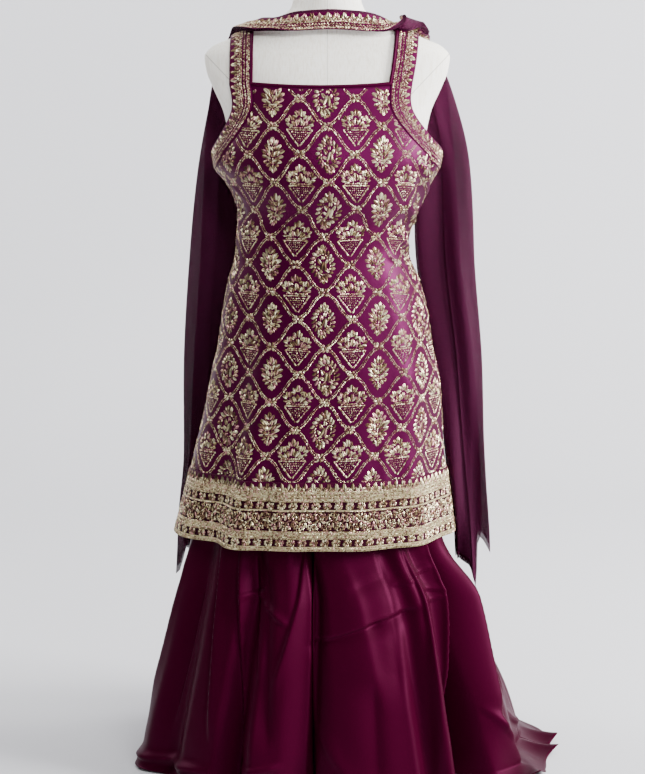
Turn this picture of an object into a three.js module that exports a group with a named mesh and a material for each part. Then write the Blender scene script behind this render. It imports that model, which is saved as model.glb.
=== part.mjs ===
// Sharara suit on a dress form: a sleeveless tunic with strap bands and gold borders, wide flared
// two-legged trousers that reach the floor, and a long chiffon scarf across the neck whose ends fall
// behind the shoulders. The form is a limbless torso on a pole and a round base.
// Millimetres. +Z is up, +X is the viewer's right, and the front of the suit faces -Y.
import * as THREE from "three";

// Cloth
const CLOTH = 1.2; // wall of the tunic and the trousers
const CHIFFON = 1.0; // wall of the scarf
const TRIM = 1.4; // wall of the embroidered bands and borders
const ELASTIC = 3; // wall of the waistband
const SEAM = 0.3; // gap between neighbouring pieces

// Tunic
const NECKLINE_Z = 1083; // top edge of the tunic's front and back
const UNDERARM_Z = 985; // lowest point of the armhole
const BAND_WIDTH = 33; // strap and armhole band
const BINDING_WIDTH = 5; // plain edging round the neck opening
const WAIST_Z = 840; // narrowest place
const SLIT_Z = 600; // top of the side slits
const SLIT_HALF = 5; // half the width of a slit at the hem
const HEM_Z = 371;
const BORDER_HEIGHT = 106; // gold border above the hem

// Trousers
const WAISTBAND_TOP_Z = 846;
const WAISTBAND_Z = 820; // where the legs are sewn to the waistband
const CROTCH_Z = 470;
const SPLIT_X = -26; // where the two legs part, beside the pole
const SPLIT_FRONT_SHIFT = 8; // how far the split lies towards +X at the front
const SPLIT_HALF = 4.5; // half the gap between the two inner legs
const SPLIT_OPENS = 80; // fall below the crotch over which that gap opens
const INNER_LEG_WAVE = { out: 9, length: 104 };
const FOLDS_START_Z = 600; // folds open below this height
const HEM_TURN_Z = 14; // below this the cloth turns out along the floor
const HEM_Z_FLOOR = 1.2; // middle of the cloth where it lies on the floor
const HEM_Z_INSIDE = 14; // inner hems stay above the round base
const HEM_RISE_INSIDE = 6; // how much higher the turn of an inner hem starts
const POOL_FLAT = 20; // from this reach on the hem lies quite flat on the floor
const RUFFLE = { height: 12, length: 46 }; // waves of the hem where it lies on the floor

// Dress form and stand
const POLE_RADIUS = 16;
const BASE_RADIUS = 132;
const BASE_HEIGHT = 9;

// Dress form: half width, front and back depth of each level section, and how square it is
const FORM = [
  { z: 1244, shift: 0, half: 51, front: 47, back: 57, square: 2.0 },
  { z: 1215, shift: 0, half: 53, front: 50, back: 58, square: 2.0 },
  { z: 1200, shift: 0, half: 58, front: 52, back: 60, square: 2.0 },
  { z: 1188, shift: 0, half: 74, front: 54, back: 62, square: 2.0 },
  { z: 1176, shift: 0, half: 100, front: 56, back: 65, square: 2.0 },
  { z: 1164, shift: 0, half: 130, front: 58, back: 69, square: 2.05 },
  { z: 1154, shift: 0, half: 155, front: 61, back: 73, square: 2.1 },
  { z: 1143, shift: 0, half: 180, front: 64, back: 77, square: 2.15 },
  { z: 1127, shift: 0, half: 192, front: 69, back: 82, square: 2.2 },
  { z: 1106, shift: 0, half: 189, front: 74, back: 86, square: 2.2 },
  { z: 1080, shift: 0, half: 179, front: 80, back: 89, square: 2.2 },
  { z: 1040, shift: 0, half: 162, front: 94, back: 92, square: 2.2 },
  { z: 985, shift: 0, half: 152, front: 112, back: 93, square: 2.15 },
  { z: 935, shift: 0, half: 146, front: 117, back: 87, square: 2.1 },
  { z: 885, shift: 0, half: 126, front: 96, back: 79, square: 2.1 },
  { z: 835, shift: 0, half: 112, front: 82, back: 76, square: 2.1 },
  { z: 760, shift: 0, half: 133, front: 86, back: 90, square: 2.15 },
  { z: 680, shift: 0, half: 153, front: 93, back: 106, square: 2.2 },
  { z: 600, shift: 0, half: 158, front: 94, back: 108, square: 2.2 },
  { z: 520, shift: 0, half: 150, front: 86, back: 98, square: 2.2 },
];

// Tunic: the same columns; it leans to the viewer's left towards the hem
const TUNIC = [
  { z: 1215, shift: 0, half: 57, front: 54, back: 62, square: 2.0 },
  { z: 1200, shift: 0, half: 62, front: 56, back: 64, square: 2.0 },
  { z: 1188, shift: 0, half: 79, front: 58, back: 66, square: 2.0 },
  { z: 1176, shift: 0, half: 106, front: 60, back: 69, square: 2.0 },
  { z: 1164, shift: 0, half: 137, front: 63, back: 73, square: 2.05 },
  { z: 1154, shift: 0, half: 161, front: 65, back: 77, square: 2.1 },
  { z: 1143, shift: 0, half: 185, front: 68, back: 81, square: 2.15 },
  { z: 1127, shift: 0, half: 196, front: 73, back: 86, square: 2.2 },
  { z: 1106, shift: 0, half: 193, front: 78, back: 90, square: 2.2 },
  { z: 1080, shift: 0, half: 183, front: 84, back: 93, square: 2.2 },
  { z: 1040, shift: 0, half: 170, front: 98, back: 97, square: 2.2 },
  { z: 1005, shift: 0, half: 175, front: 110, back: 99, square: 2.15 },
  { z: 980, shift: 0, half: 180, front: 117, back: 99, square: 2.1 },
  { z: 960, shift: 0, half: 178, front: 121, back: 98, square: 2.05 },
  { z: 933, shift: 2, half: 162, front: 122, back: 95, square: 2.0 },
  { z: 897, shift: 3, half: 146, front: 110, back: 90, square: 2.0 },
  { z: 865, shift: -4, half: 138, front: 98, back: 88, square: 2.0 },
  { z: 830, shift: -8, half: 137, front: 96, back: 90, square: 2.0 },
  { z: 775, shift: -5, half: 153, front: 101, back: 102, square: 2.0 },
  { z: 722, shift: -3, half: 165, front: 108, back: 116, square: 2.0 },
  { z: 672, shift: -3, half: 172, front: 113, back: 124, square: 2.05 },
  { z: 633, shift: -3, half: 182, front: 118, back: 127, square: 2.05 },
  { z: 571, shift: -6, half: 191, front: 124, back: 131, square: 2.0 },
  { z: 507, shift: -12, half: 201, front: 132, back: 136, square: 2.0 },
  { z: 445, shift: -15, half: 213, front: 139, back: 141, square: 2.0 },
  { z: 371, shift: -20, half: 228, front: 147, back: 146, square: 2.0 },
];

// Soft folds that open from the tunic's waist to its hem: place round the body, depth and spread
const TUNIC_FOLDS = [
  { angle: -48, out: -16, spread: 12 },
  { angle: -32, out: 18, spread: 9 },
  { angle: -12, out: 6, spread: 10 },
  { angle: 18, out: 9, spread: 12 },
  { angle: 43, out: 10, spread: 9 },
  { angle: 66, out: -8, spread: 12 },
  { angle: 118, out: -9, spread: 11 },
  { angle: 142, out: 9, spread: 10 },
  { angle: 165, out: -7, spread: 9 },
  { angle: 190, out: 8, spread: 10 },
  { angle: 216, out: 6, spread: 9 },
  { angle: 243, out: -9, spread: 11 },
];

// Inner edge of the two strap bands from the centre, at the neckline and on top of the shoulder
const STRAPS = [
  { side: -1, neckline: 117, shoulder: 116 },
  { side: 1, neckline: 97, shoulder: 109 },
];

// Trousers without their folds: from the gathered waist to the wide hem
const TROUSERS = [
  { z: 846, shift: 0, half: 121, front: 90, back: 84, square: 2.05 },
  { z: 820, shift: 0, half: 119, front: 89, back: 84, square: 2.05 },
  { z: 760, shift: -1, half: 139, front: 93, back: 97, square: 2.1 },
  { z: 680, shift: -1, half: 161, front: 101, back: 115, square: 2.15 },
  { z: 600, shift: -4, half: 168, front: 106, back: 116, square: 2.15 },
  { z: 540, shift: -6, half: 177, front: 111, back: 118, square: 2.1 },
  { z: 470, shift: -10, half: 192, front: 118, back: 122, square: 2.1 },
  { z: 371, shift: -12, half: 207, front: 124, back: 126, square: 2.1 },
  { z: 280, shift: 2, half: 243, front: 158, back: 158, square: 2.15 },
  { z: 190, shift: 4, half: 266, front: 186, back: 186, square: 2.2 },
  { z: 90, shift: 6, half: 292, front: 208, back: 208, square: 2.25 },
  { z: 0, shift: 8, half: 312, front: 224, back: 226, square: 2.3 },
];

// Folds of one leg from its front split round the outside to its back split: place round the body,
// depth at the floor, how soon it opens (small is soon), and how far its hem lies out on the floor
const RIGHT_LEG_FOLDS = [
  { angle: 0, out: -30, soon: 0.6, pool: 0 },
  { angle: -6, out: -20, soon: 0.6, pool: 0 },
  { angle: -13, out: 10, soon: 0.8, pool: 0 },
  { angle: -20, out: 20, soon: 1.0, pool: 4 },
  { angle: -27, out: -20, soon: 0.8, pool: 0 },
  { angle: -34, out: 14, soon: 1.1, pool: 8 },
  { angle: -45, out: 12, soon: 1.3, pool: 14 },
  { angle: -55, out: -14, soon: 1.1, pool: 8 },
  { angle: -68, out: 16, soon: 1.2, pool: 6 },
  { angle: -82, out: 2, soon: 1.2, pool: 0 },
  { angle: -97, out: -22, soon: 1.0, pool: 0 },
  { angle: -112, out: 18, soon: 1.1, pool: 10 },
  { angle: -127, out: -22, soon: 0.9, pool: 4 },
  { angle: -141, out: 20, soon: 1.0, pool: 14 },
  { angle: -153, out: -20, soon: 0.9, pool: 6 },
  { angle: -163, out: 18, soon: 1.0, pool: 12 },
  { angle: -169, out: 4, soon: 0.8, pool: 4 },
  { angle: -174, out: -20, soon: 0.6, pool: 0 },
  { angle: -180, out: -30, soon: 0.6, pool: 0 },
];

const LEFT_LEG_FOLDS = [
  { angle: -12, out: -30, soon: 0.6, pool: 0 },
  { angle: -6, out: -20, soon: 0.6, pool: 0 },
  { angle: 1, out: 8, soon: 0.8, pool: 0 },
  { angle: 11, out: 16, soon: 1.2, pool: 0 },
  { angle: 21, out: 14, soon: 1.2, pool: 2 },
  { angle: 27, out: -16, soon: 0.9, pool: 0 },
  { angle: 33, out: 12, soon: 0.9, pool: 0 },
  { angle: 42, out: -50, soon: 1.05, pool: 4 },
  { angle: 52, out: 10, soon: 1.2, pool: 22 },
  { angle: 64, out: 14, soon: 1.4, pool: 42 },
  { angle: 80, out: -4, soon: 1.3, pool: 58 },
  { angle: 97, out: 12, soon: 1.0, pool: 54 },
  { angle: 112, out: 18, soon: 1.3, pool: 32 },
  { angle: 126, out: -22, soon: 0.9, pool: 12 },
  { angle: 140, out: 20, soon: 1.0, pool: 12 },
  { angle: 151, out: -20, soon: 0.9, pool: 4 },
  { angle: 162, out: 20, soon: 1.0, pool: 12 },
  { angle: 172, out: 14, soon: 0.9, pool: 4 },
  { angle: 180, out: 0, soon: 0.8, pool: 0 },
  { angle: 186, out: -20, soon: 0.6, pool: 0 },
  { angle: 192, out: -30, soon: 0.6, pool: 0 },
];
// The scarf's left end presses the trousers in beside the hip
const SCARF_DENT = { angle: 103, z: 288, depth: 54, spread: 20, tall: 128 };

// Scarf: where its folded bundle runs, from the tip of one end up over the shoulder, across the front
// of the neck and down to the other tip. across_x and across_z point to the side of the bundle nearest
// the neck, half is half its width, and step is the distance between its layers.
const SCARF = [
  { x: -229, y: 134, z: 266, across_x: 1, across_z: 0, half: 29, step: 4.8, fall: 1 },
  { x: -221, y: 128, z: 372, across_x: 1, across_z: 0, half: 32, step: 5.2, fall: 1 },
  { x: -205, y: 121, z: 480, across_x: 1, across_z: 0, half: 35, step: 5.6, fall: 1 },
  { x: -198, y: 116, z: 640, across_x: 1, across_z: 0, half: 36, step: 5.8, fall: 1 },
  { x: -185, y: 111, z: 820, across_x: 1, across_z: 0, half: 37, step: 5.8, fall: 1 },
  { x: -176, y: 106, z: 960, across_x: 1, across_z: 0, half: 35, step: 5.2, fall: 1 },
  { x: -167, y: 97, z: 1050, across_x: 1, across_z: 0.05, half: 31, step: 4.0, fall: 0.9 },
  { x: -156, y: 84, z: 1118, across_x: 1, across_z: 0.18, half: 25, step: 2.6, fall: 0.6 },
  { x: -141, y: 56, z: 1160, across_x: 0.96, across_z: 0.3, half: 19, step: 1.7, fall: 0.2 },
  { x: -131, y: 12, z: 1178, across_x: 0.92, across_z: 0.3, half: 16, step: 1.5, fall: 0 },
  { x: -117, y: -37, z: 1176, across_x: 0.88, across_z: 0.6, half: 15, step: 1.5, fall: 0 },
  { x: -84, y: -60, z: 1175, across_x: 0.3, across_z: 1.2, half: 15, step: 1.5, fall: 0 },
  { x: -38, y: -71, z: 1178, across_x: 0, across_z: 1, half: 15, step: 1.5, fall: 0 },
  { x: 4, y: -74, z: 1180, across_x: 0, across_z: 1, half: 15, step: 1.5, fall: 0 },
  { x: 46, y: -71, z: 1178, across_x: 0, across_z: 1, half: 15, step: 1.5, fall: 0 },
  { x: 85, y: -60, z: 1175, across_x: -0.3, across_z: 1.2, half: 15, step: 1.5, fall: 0 },
  { x: 117, y: -37, z: 1176, across_x: -0.88, across_z: 0.6, half: 15, step: 1.5, fall: 0 },
  { x: 132, y: 12, z: 1178, across_x: -0.92, across_z: 0.3, half: 17, step: 1.5, fall: 0 },
  { x: 147, y: 52, z: 1158, across_x: -0.96, across_z: 0.3, half: 21, step: 1.7, fall: 0.2 },
  { x: 164, y: 84, z: 1116, across_x: -1, across_z: 0.18, half: 27, step: 2.6, fall: 0.6 },
  { x: 178, y: 97, z: 1050, across_x: -1, across_z: 0.05, half: 33, step: 4.0, fall: 0.9 },
  { x: 190, y: 104, z: 960, across_x: -1, across_z: 0, half: 38, step: 5.2, fall: 1 },
  { x: 196, y: 102, z: 820, across_x: -1, across_z: 0, half: 42, step: 5.8, fall: 1 },
  { x: 216, y: 86, z: 640, across_x: -1, across_z: 0, half: 40, step: 5.6, fall: 1 },
  { x: 227, y: 68, z: 500, across_x: -1, across_z: 0, half: 34, step: 5.0, fall: 1 },
  { x: 238, y: 46, z: 372, across_x: -1, across_z: 0, half: 28, step: 4.4, fall: 1 },
  { x: 244, y: 36, z: 266, across_x: -1, across_z: 0, half: 26, step: 4.2, fall: 1 },
];
const SCARF_NECK = { from: 9, to: 17 }; // rows where the neck stretch starts and ends
const SCARF_RAGGED = 15; // the gathered ends hang unevenly by this much
const SCARF_BORDER_WIDTH = 26;

// Where the scarf turns back on itself across its width, as shares of half the bundle's width, from
// its bordered edge in the outermost layer to its plain edge in the innermost
const SCARF_TURNS = [
  { neck: -1, fall: -0.35 },
  { neck: 1, fall: 0.95 },
  { neck: -0.9, fall: -0.5 },
  { neck: 0.92, fall: 0.8 },
  { neck: -0.85, fall: -0.7 },
  { neck: 0.88, fall: 0.9 },
  { neck: -0.85, fall: -0.4 },
  { neck: 0.84, fall: 1 },
  { neck: -0.8, fall: -1 },
  { neck: 0.84, fall: 0.05 },
];

// Grid density
const TUNIC_COLUMNS = 22;
const TUNIC_ZS = [HEM_Z, 424, HEM_Z + BORDER_HEIGHT, 535, 600, 672, 740, 800, 845, 885, 925];
const ARMHOLE_STEPS = 6;
const STRAP_STEPS = 10;
const BAND_COLUMNS = 2;
const LEG_ZS = [WAISTBAND_Z - SEAM, 740, 640, 545, CROTCH_Z, 371, 280, 190, 100, HEM_TURN_Z, 8, 4, 0];
const LEG_COLUMNS = 20;
const INNER_LEG_COLUMNS = 6;
const ROUND_COLUMNS = 36;

const RAD = Math.PI / 180;
const clamp01 = (t) => Math.min(1, Math.max(0, t));
const lerp = (a, b, t) => a + (b - a) * t;
const steps = (count) => Array.from({ length: count + 1 }, (_, k) => k / count);

// One named column of a table at key = value: a smooth curve through its rows that never overshoots
function column(rows, name, key, value) {
  const down = rows[0][key] > rows[rows.length - 1][key] ? -1 : 1;
  let i = 0;
  while (i < rows.length - 2 && down * rows[i + 1][key] < down * value) i++;
  const slope = (k) =>
    k < 0 || k > rows.length - 2
      ? null
      : (rows[k + 1][name] - rows[k][name]) / (rows[k + 1][key] - rows[k][key]);
  const tangent = (k) => {
    const before = slope(k - 1) ?? slope(k);
    const after = slope(k) ?? slope(k - 1);
    return before * after <= 0 ? 0 : (2 * before * after) / (before + after);
  };
  const gap = rows[i + 1][key] - rows[i][key];
  const t = clamp01((value - rows[i][key]) / gap);
  const t2 = t * t;
  const t3 = t2 * t;
  return (
    (2 * t3 - 3 * t2 + 1) * rows[i][name] +
    (t3 - 2 * t2 + t) * gap * tangent(i) +
    (3 * t2 - 2 * t3) * rows[i + 1][name] +
    (t3 - t2) * gap * tangent(i + 1)
  );
}

// Point of a level section at an angle from the front, turning towards +X
function sectionPoint(rows, degrees, z) {
  const at = (name) => column(rows, name, "z", z);
  const power = 2 / at("square");
  const s = Math.sin(degrees * RAD);
  const c = Math.cos(degrees * RAD);
  const depth = c > 0 ? at("front") : at("back");
  return new THREE.Vector3(
    at("shift") + at("half") * Math.sign(s) * Math.abs(s) ** power,
    -depth * Math.sign(c) * Math.abs(c) ** power,
    z,
  );
}

// Angle where a level section passes x, on its front (face -1) or its back (face 1)
function angleAtX(rows, x, z, face) {
  const at = (name) => column(rows, name, "z", z);
  const share = (x - at("shift")) / at("half");
  const s = Math.sign(share) * Math.min(1, Math.abs(share)) ** (at("square") / 2);
  const degrees = Math.asin(s) / RAD;
  return face < 0 ? degrees : 180 - degrees;
}

// Grid of points to grid of places, each with a normal from its neighbours that points away from
// the body's axis
function places(points, closed = false) {
  const last = points.length - 1;
  const middle = new THREE.Vector3(0, 0, points[0][0].z / 2 + points[last >> 1][0].z / 2);
  const grid = points.map((row, i) =>
    row.map((p, j) => {
      const before = points[i > 0 ? i - 1 : closed ? last : 0][j];
      const after = points[i < last ? i + 1 : closed ? 0 : last][j];
      const along = after.clone().sub(before);
      const across = row[Math.min(j + 1, row.length - 1)].clone().sub(row[Math.max(j - 1, 0)]);
      return { p, n: across.cross(along).normalize() };
    }),
  );
  let facing = 0;
  for (const row of grid) for (const { p, n } of row) facing += n.dot(p.clone().sub(middle));
  if (facing < 0) for (const row of grid) for (const { n } of row) n.negate();
  return grid;
}

const moved = (grid, distance) =>
  grid.map((row) => row.map(({ p, n }) => ({ p: p.clone().addScaledVector(n, distance), n })));

// Closed cloth wall on a grid of places: an outer and an inner skin joined by a rim. keep(i, j) says
// whether the cell from (i, j) to (i + 1, j + 1) is cloth, swap(j) whether the cells of a column are
// split along their other diagonal, and a closed grid joins its last row to its first.
function wall(grid, thickness, { keep = () => true, swap = () => false, closed = false } = {}) {
  const rows = grid.length;
  const columns = grid[0].length;
  const points = [...moved(grid, thickness / 2), ...moved(grid, -thickness / 2)].flat().map(({ p }) => p);
  const cells = closed ? rows : rows - 1;
  const id = (i, j, inner) => (i % rows) * columns + j + (inner ? rows * columns : 0);
  const row = (i) => (closed ? (i + rows) % rows : i);
  const cloth = (i, j) => i >= 0 && j >= 0 && i < cells && j < columns - 1 && keep(i, j);
  const index = [];
  const quad = (a, b, c, d) => index.push(a, b, c, a, c, d);
  for (let i = 0; i < cells; i++) {
    for (let j = 0; j < columns - 1; j++) {
      if (!cloth(i, j)) continue;
      const [a, b, c, d] = [id(i, j), id(i, j + 1), id(i + 1, j + 1), id(i + 1, j)];
      const inner = rows * columns;
      if (swap(j)) {
        quad(b, c, d, a);
        quad(b + inner, a + inner, d + inner, c + inner);
      } else {
        quad(a, b, c, d);
        quad(a + inner, d + inner, c + inner, b + inner);
      }
      if (!cloth(row(i - 1), j)) quad(id(i, j, 1), id(i, j + 1, 1), id(i, j + 1), id(i, j));
      if (!cloth(row(i + 1), j)) quad(id(i + 1, j), id(i + 1, j + 1), id(i + 1, j + 1, 1), id(i + 1, j, 1));
      if (!cloth(i, j - 1)) quad(id(i, j), id(i + 1, j), id(i + 1, j, 1), id(i, j, 1));
      if (!cloth(i, j + 1)) quad(id(i, j + 1, 1), id(i + 1, j + 1, 1), id(i + 1, j + 1), id(i, j + 1));
    }
  }
  return solid(points, index);
}

// Geometry of the points that the triangles use, with its faces turned round if they point inwards
function solid(points, index) {
  const number = new Map();
  const vertices = [];
  for (const k of index) {
    if (number.has(k)) continue;
    number.set(k, number.size);
    vertices.push(...points[k].toArray());
  }
  let volume = 0;
  for (let k = 0; k < index.length; k += 3) {
    const [a, b, c] = index.slice(k, k + 3).map((n) => points[n]);
    volume += a.dot(b.clone().cross(c));
  }
  const used = index.map((k) => number.get(k));
  if (volume < 0) used.reverse();
  const geometry = new THREE.BufferGeometry();
  geometry.setAttribute("position", new THREE.Float32BufferAttribute(vertices, 3));
  geometry.setIndex(used);
  geometry.computeVertexNormals();
  return geometry;
}

// Angle on a surface at a distance along its level section from the side seam at 90 * side degrees,
// towards the front (face -1) or the back (face 1)
function angleFromSeam(point, z, side, face, distance) {
  const turn = face * side * 0.5;
  let degrees = 90 * side;
  let left = distance;
  for (;;) {
    const length = point(degrees + turn, z).distanceTo(point(degrees, z));
    if (left <= length) return degrees + (turn * left) / length;
    left -= length;
    degrees += turn;
  }
}

// Row of points at even angles on a level section
const levelRow = (point, z, from, to, count) => steps(count).map((t) => point(lerp(from, to, t), z));

// Tunic

function tunicPoint(degrees, z) {
  const open = clamp01((WAIST_Z - z) / (WAIST_Z - HEM_Z)) ** 1.2;
  let out = 0;
  for (const fold of TUNIC_FOLDS) {
    const gap = (((degrees - fold.angle) % 360) + 540) % 360 - 180;
    out += fold.out * open * Math.exp(-((gap / fold.spread) ** 2));
  }
  const p = sectionPoint(TUNIC, degrees, z);
  p.x += out * Math.sin(degrees * RAD);
  p.y -= out * Math.cos(degrees * RAD);
  return p;
}

// Point of the tunic's surface at a swing about the line through the chest at neckline height, in the
// upright plane at x: 0 is the front, 90 the top of the shoulder and 180 the back
function shoulderPoint(x, swing) {
  const away = new THREE.Vector3(0, -Math.cos(swing * RAD), Math.sin(swing * RAD));
  const at = (reach) => new THREE.Vector3(x, 0, NECKLINE_Z).addScaledVector(away, reach);
  const inside = ({ y, z }) => {
    if (z > TUNIC[0].z) return false;
    const value = (name) => column(TUNIC, name, "z", z);
    const depth = y < 0 ? value("front") : value("back");
    const square = value("square");
    const wide = Math.abs(x - value("shift")) / value("half");
    return wide ** square + (Math.abs(y) / depth) ** square < 1;
  };
  let near = 0;
  let far = 200;
  while (far - near > 0.001) {
    const middle = (near + far) / 2;
    if (inside(at(middle))) near = middle;
    else far = middle;
  }
  return at(near);
}

// A curve parallel to the armhole, inset by a distance, from under the arm (t = 0) to the neckline
// (t = 1): a quarter ellipse along the cloth. It returns a point of the tunic.
function armholePoint(t, { side, neckline }, face, inset) {
  const end = angleAtX(TUNIC, side * (neckline + BAND_WIDTH - inset), NECKLINE_Z, face);
  const seam = face < 0 || side > 0 ? 90 * side : 270;
  let length = 0;
  let last = tunicPoint(seam, NECKLINE_Z);
  for (const share of steps(40).slice(1)) {
    const next = tunicPoint(lerp(seam, end, share), NECKLINE_Z);
    length += next.distanceTo(last);
    last = next;
  }
  const low = UNDERARM_Z - inset;
  const z = low + (NECKLINE_Z - low) * (1 - Math.cos((t * Math.PI) / 2));
  if (t === 1) return tunicPoint(end, z);
  const distance = SEAM / 2 + (length - SEAM / 2) * Math.sin((t * Math.PI) / 2);
  return tunicPoint(angleFromSeam(tunicPoint, z, side, face, distance), z);
}

// Front (face -1) or back (face 1) of the body, from the hem up to the neckline
function tunicPanel(face) {
  const [right, left] = STRAPS;
  const rows = TUNIC_ZS.map((z) => {
    const open = SEAM / 2 + SLIT_HALF * clamp01((SLIT_Z - z) / (SLIT_Z - HEM_Z));
    const from = angleFromSeam(tunicPoint, z, -1, face, open);
    const to = angleFromSeam(tunicPoint, z, 1, face, open);
    return levelRow(tunicPoint, z, from, face < 0 ? to : to - 360, TUNIC_COLUMNS);
  });
  for (const t of steps(ARMHOLE_STEPS)) {
    const ends = [right, left].map((strap) => armholePoint(t, strap, face, BAND_WIDTH + SEAM));
    const [from, to] = ends.map((p) => angleAtX(TUNIC, p.x, p.z, face));
    rows.push(levelRow(tunicPoint, ends[0].z, from, to, TUNIC_COLUMNS));
  }
  return places(rows);
}

// Gold border: the panel's own points up to the border's height, moved out
function hemBorder(panel) {
  const rows = panel.filter((row) => row[0].p.z <= HEM_Z + BORDER_HEIGHT);
  return wall(moved(rows, CLOTH / 2 + SEAM + TRIM / 2), TRIM);
}

// Distance of a strap's inner edge from the centre at a swing over the shoulder
const strapInner = ({ neckline, shoulder }, swing) =>
  lerp(neckline, shoulder, Math.sin(swing * RAD));

// Strap and armhole band: up the front armhole, over the shoulder and down the back armhole
function strapBand(strap) {
  const insets = steps(BAND_COLUMNS).map((share) => share * BAND_WIDTH);
  const armhole = (face) =>
    steps(ARMHOLE_STEPS).map((t) => insets.map((inset) => armholePoint(t, strap, face, inset)));
  const shoulder = steps(STRAP_STEPS)
    .slice(1, -1)
    .map((share) => {
      const swing = 180 * share;
      const outer = strapInner(strap, swing) + BAND_WIDTH;
      return insets.map((inset) => shoulderPoint(strap.side * (outer - inset), swing));
    });
  return wall(places([...armhole(-1), ...shoulder, ...armhole(1).reverse()]), TRIM);
}

// Narrow edging round the neck opening: along the neckline, over one strap's inner edge, along the
// back neckline and over the other strap
function neckBinding() {
  const insets = [SEAM, SEAM + BINDING_WIDTH];
  const [right, left] = STRAPS;
  const neckline = (face) =>
    steps(10).map((t) =>
      insets.map((inset) => {
        const x = lerp(inset - right.neckline, left.neckline - inset, t);
        const z = NECKLINE_Z + inset;
        return tunicPoint(angleAtX(TUNIC, x, z, face), z);
      }),
    );
  const strap = (one) =>
    steps(STRAP_STEPS)
      .slice(1, -1)
      .map((share) => {
        const swing = 180 * share;
        return insets.map((inset) =>
          shoulderPoint(one.side * (strapInner(one, swing) - inset), swing),
        );
      });
  const loop = [...neckline(-1), ...strap(left), ...neckline(1).reverse(), ...strap(right).reverse()];
  return wall(places(loop, true), CLOTH, { closed: true });
}

// Trousers

function trouserPoint(degrees, height, folds) {
  const z = Math.max(height, HEM_TURN_Z);
  const floor = clamp01(1 - height / HEM_TURN_Z); // 0 at the turn, 1 at the hem's edge
  const fold = (name) => column(folds, name, "angle", degrees);
  const open = clamp01((FOLDS_START_Z - z) / FOLDS_START_Z) ** fold("soon");
  const pool = fold("pool");
  const p = sectionPoint(TROUSERS, degrees, z);
  const gap = (degrees - SCARF_DENT.angle) / SCARF_DENT.spread;
  const rise = (z - SCARF_DENT.z) / SCARF_DENT.tall;
  const dent = SCARF_DENT.depth * Math.exp(-(gap ** 2) - rise ** 2);
  const out = fold("out") * open + pool * floor - dent;
  p.x += out * Math.sin(degrees * RAD);
  p.y -= out * Math.cos(degrees * RAD);
  const lies = clamp01(pool / POOL_FLAT);
  const wave = Math.cos((p.x + p.y) / (RUFFLE.length / (2 * Math.PI)));
  p.z = z - (HEM_TURN_Z - HEM_Z_FLOOR) * (1 - (1 - floor) ** (1 + lies));
  p.z += RUFFLE.height * (0.5 + 0.5 * wave) * lies * floor;
  return p;
}

// X of the wall between the legs at a depth y and height z, before the gap between the two walls
function splitX(y, z) {
  const fall = clamp01((WAISTBAND_Z - z) / (WAISTBAND_Z - CROTCH_Z));
  const open = clamp01((CROTCH_Z - z) / CROTCH_Z);
  const wave = 0.5 - 0.5 * Math.cos((2 * Math.PI * y) / INNER_LEG_WAVE.length);
  const front = SPLIT_FRONT_SHIFT * clamp01(-y / 200);
  return (SPLIT_X + front) * fall * fall * (3 - 2 * fall) - INNER_LEG_WAVE.out * wave * open;
}

// Front or back panel of one leg. Its rows run from the waist to the hem, and its columns from the
// side seam to the split and, below the crotch, on along the inner leg to the inseam.
function legPanel(side, face, folds) {
  const point = (degrees, height) => trouserPoint(degrees, height, folds);
  const rows = LEG_ZS.map((height) => {
    const z = Math.max(height, HEM_TURN_Z);
    const spread = clamp01((CROTCH_Z - z) / SPLIT_OPENS);
    const apart = height > CROTCH_Z ? SEAM / 2 : (CLOTH + SEAM) / 2;
    const gap = side * lerp(apart, SPLIT_HALF, spread);
    const seam = angleFromSeam(point, height, side, face, SEAM / 2);
    // The outer cloth ends where it meets the wall between the legs
    let end = face < 0 ? 0 : 180 * side;
    for (let k = 0; k < 20; k++) {
      const p = point(end, height);
      end -= (face * (splitX(p.y, z) + gap - p.x)) / column(TROUSERS, "half", "z", z) / RAD;
    }
    const row = levelRow(point, height, seam, end, LEG_COLUMNS);
    const corner = row[LEG_COLUMNS];
    const inside = clamp01((z - height) / HEM_TURN_Z);
    for (const t of steps(INNER_LEG_COLUMNS).slice(1)) {
      const y = lerp(corner.y, (face * SEAM) / 2, t);
      const above = lerp(corner.z, HEM_Z_INSIDE + (1 - inside) * HEM_RISE_INSIDE, clamp01(3 * t));
      row.push(new THREE.Vector3(splitX(y, z) + gap, y, height > HEM_TURN_Z ? z : above));
    }
    return row;
  });
  const crotch = LEG_ZS.indexOf(CROTCH_Z);
  const grid = places(rows);
  for (const row of grid.slice(0, crotch)) row[LEG_COLUMNS].n = row[LEG_COLUMNS - 1].n;
  const keep = (i, j) => i >= crotch || j < LEG_COLUMNS;
  return wall(grid, CLOTH, { keep });
}

function waistband() {
  const point = (degrees, z) => sectionPoint(TROUSERS, degrees, z);
  const rows = steps(ROUND_COLUMNS)
    .slice(0, -1)
    .map((t) => [WAISTBAND_Z, WAISTBAND_TOP_Z].map((z) => point(360 * t, z)));
  return wall(places(rows, true), ELASTIC, { closed: true });
}

// Scarf

const SCARF_ROWS = SCARF.map((row, k) => ({ ...row, k }));
const scarfPoint = (k) =>
  new THREE.Vector3(...["x", "y", "z"].map((name) => column(SCARF_ROWS, name, "k", k)));

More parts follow.
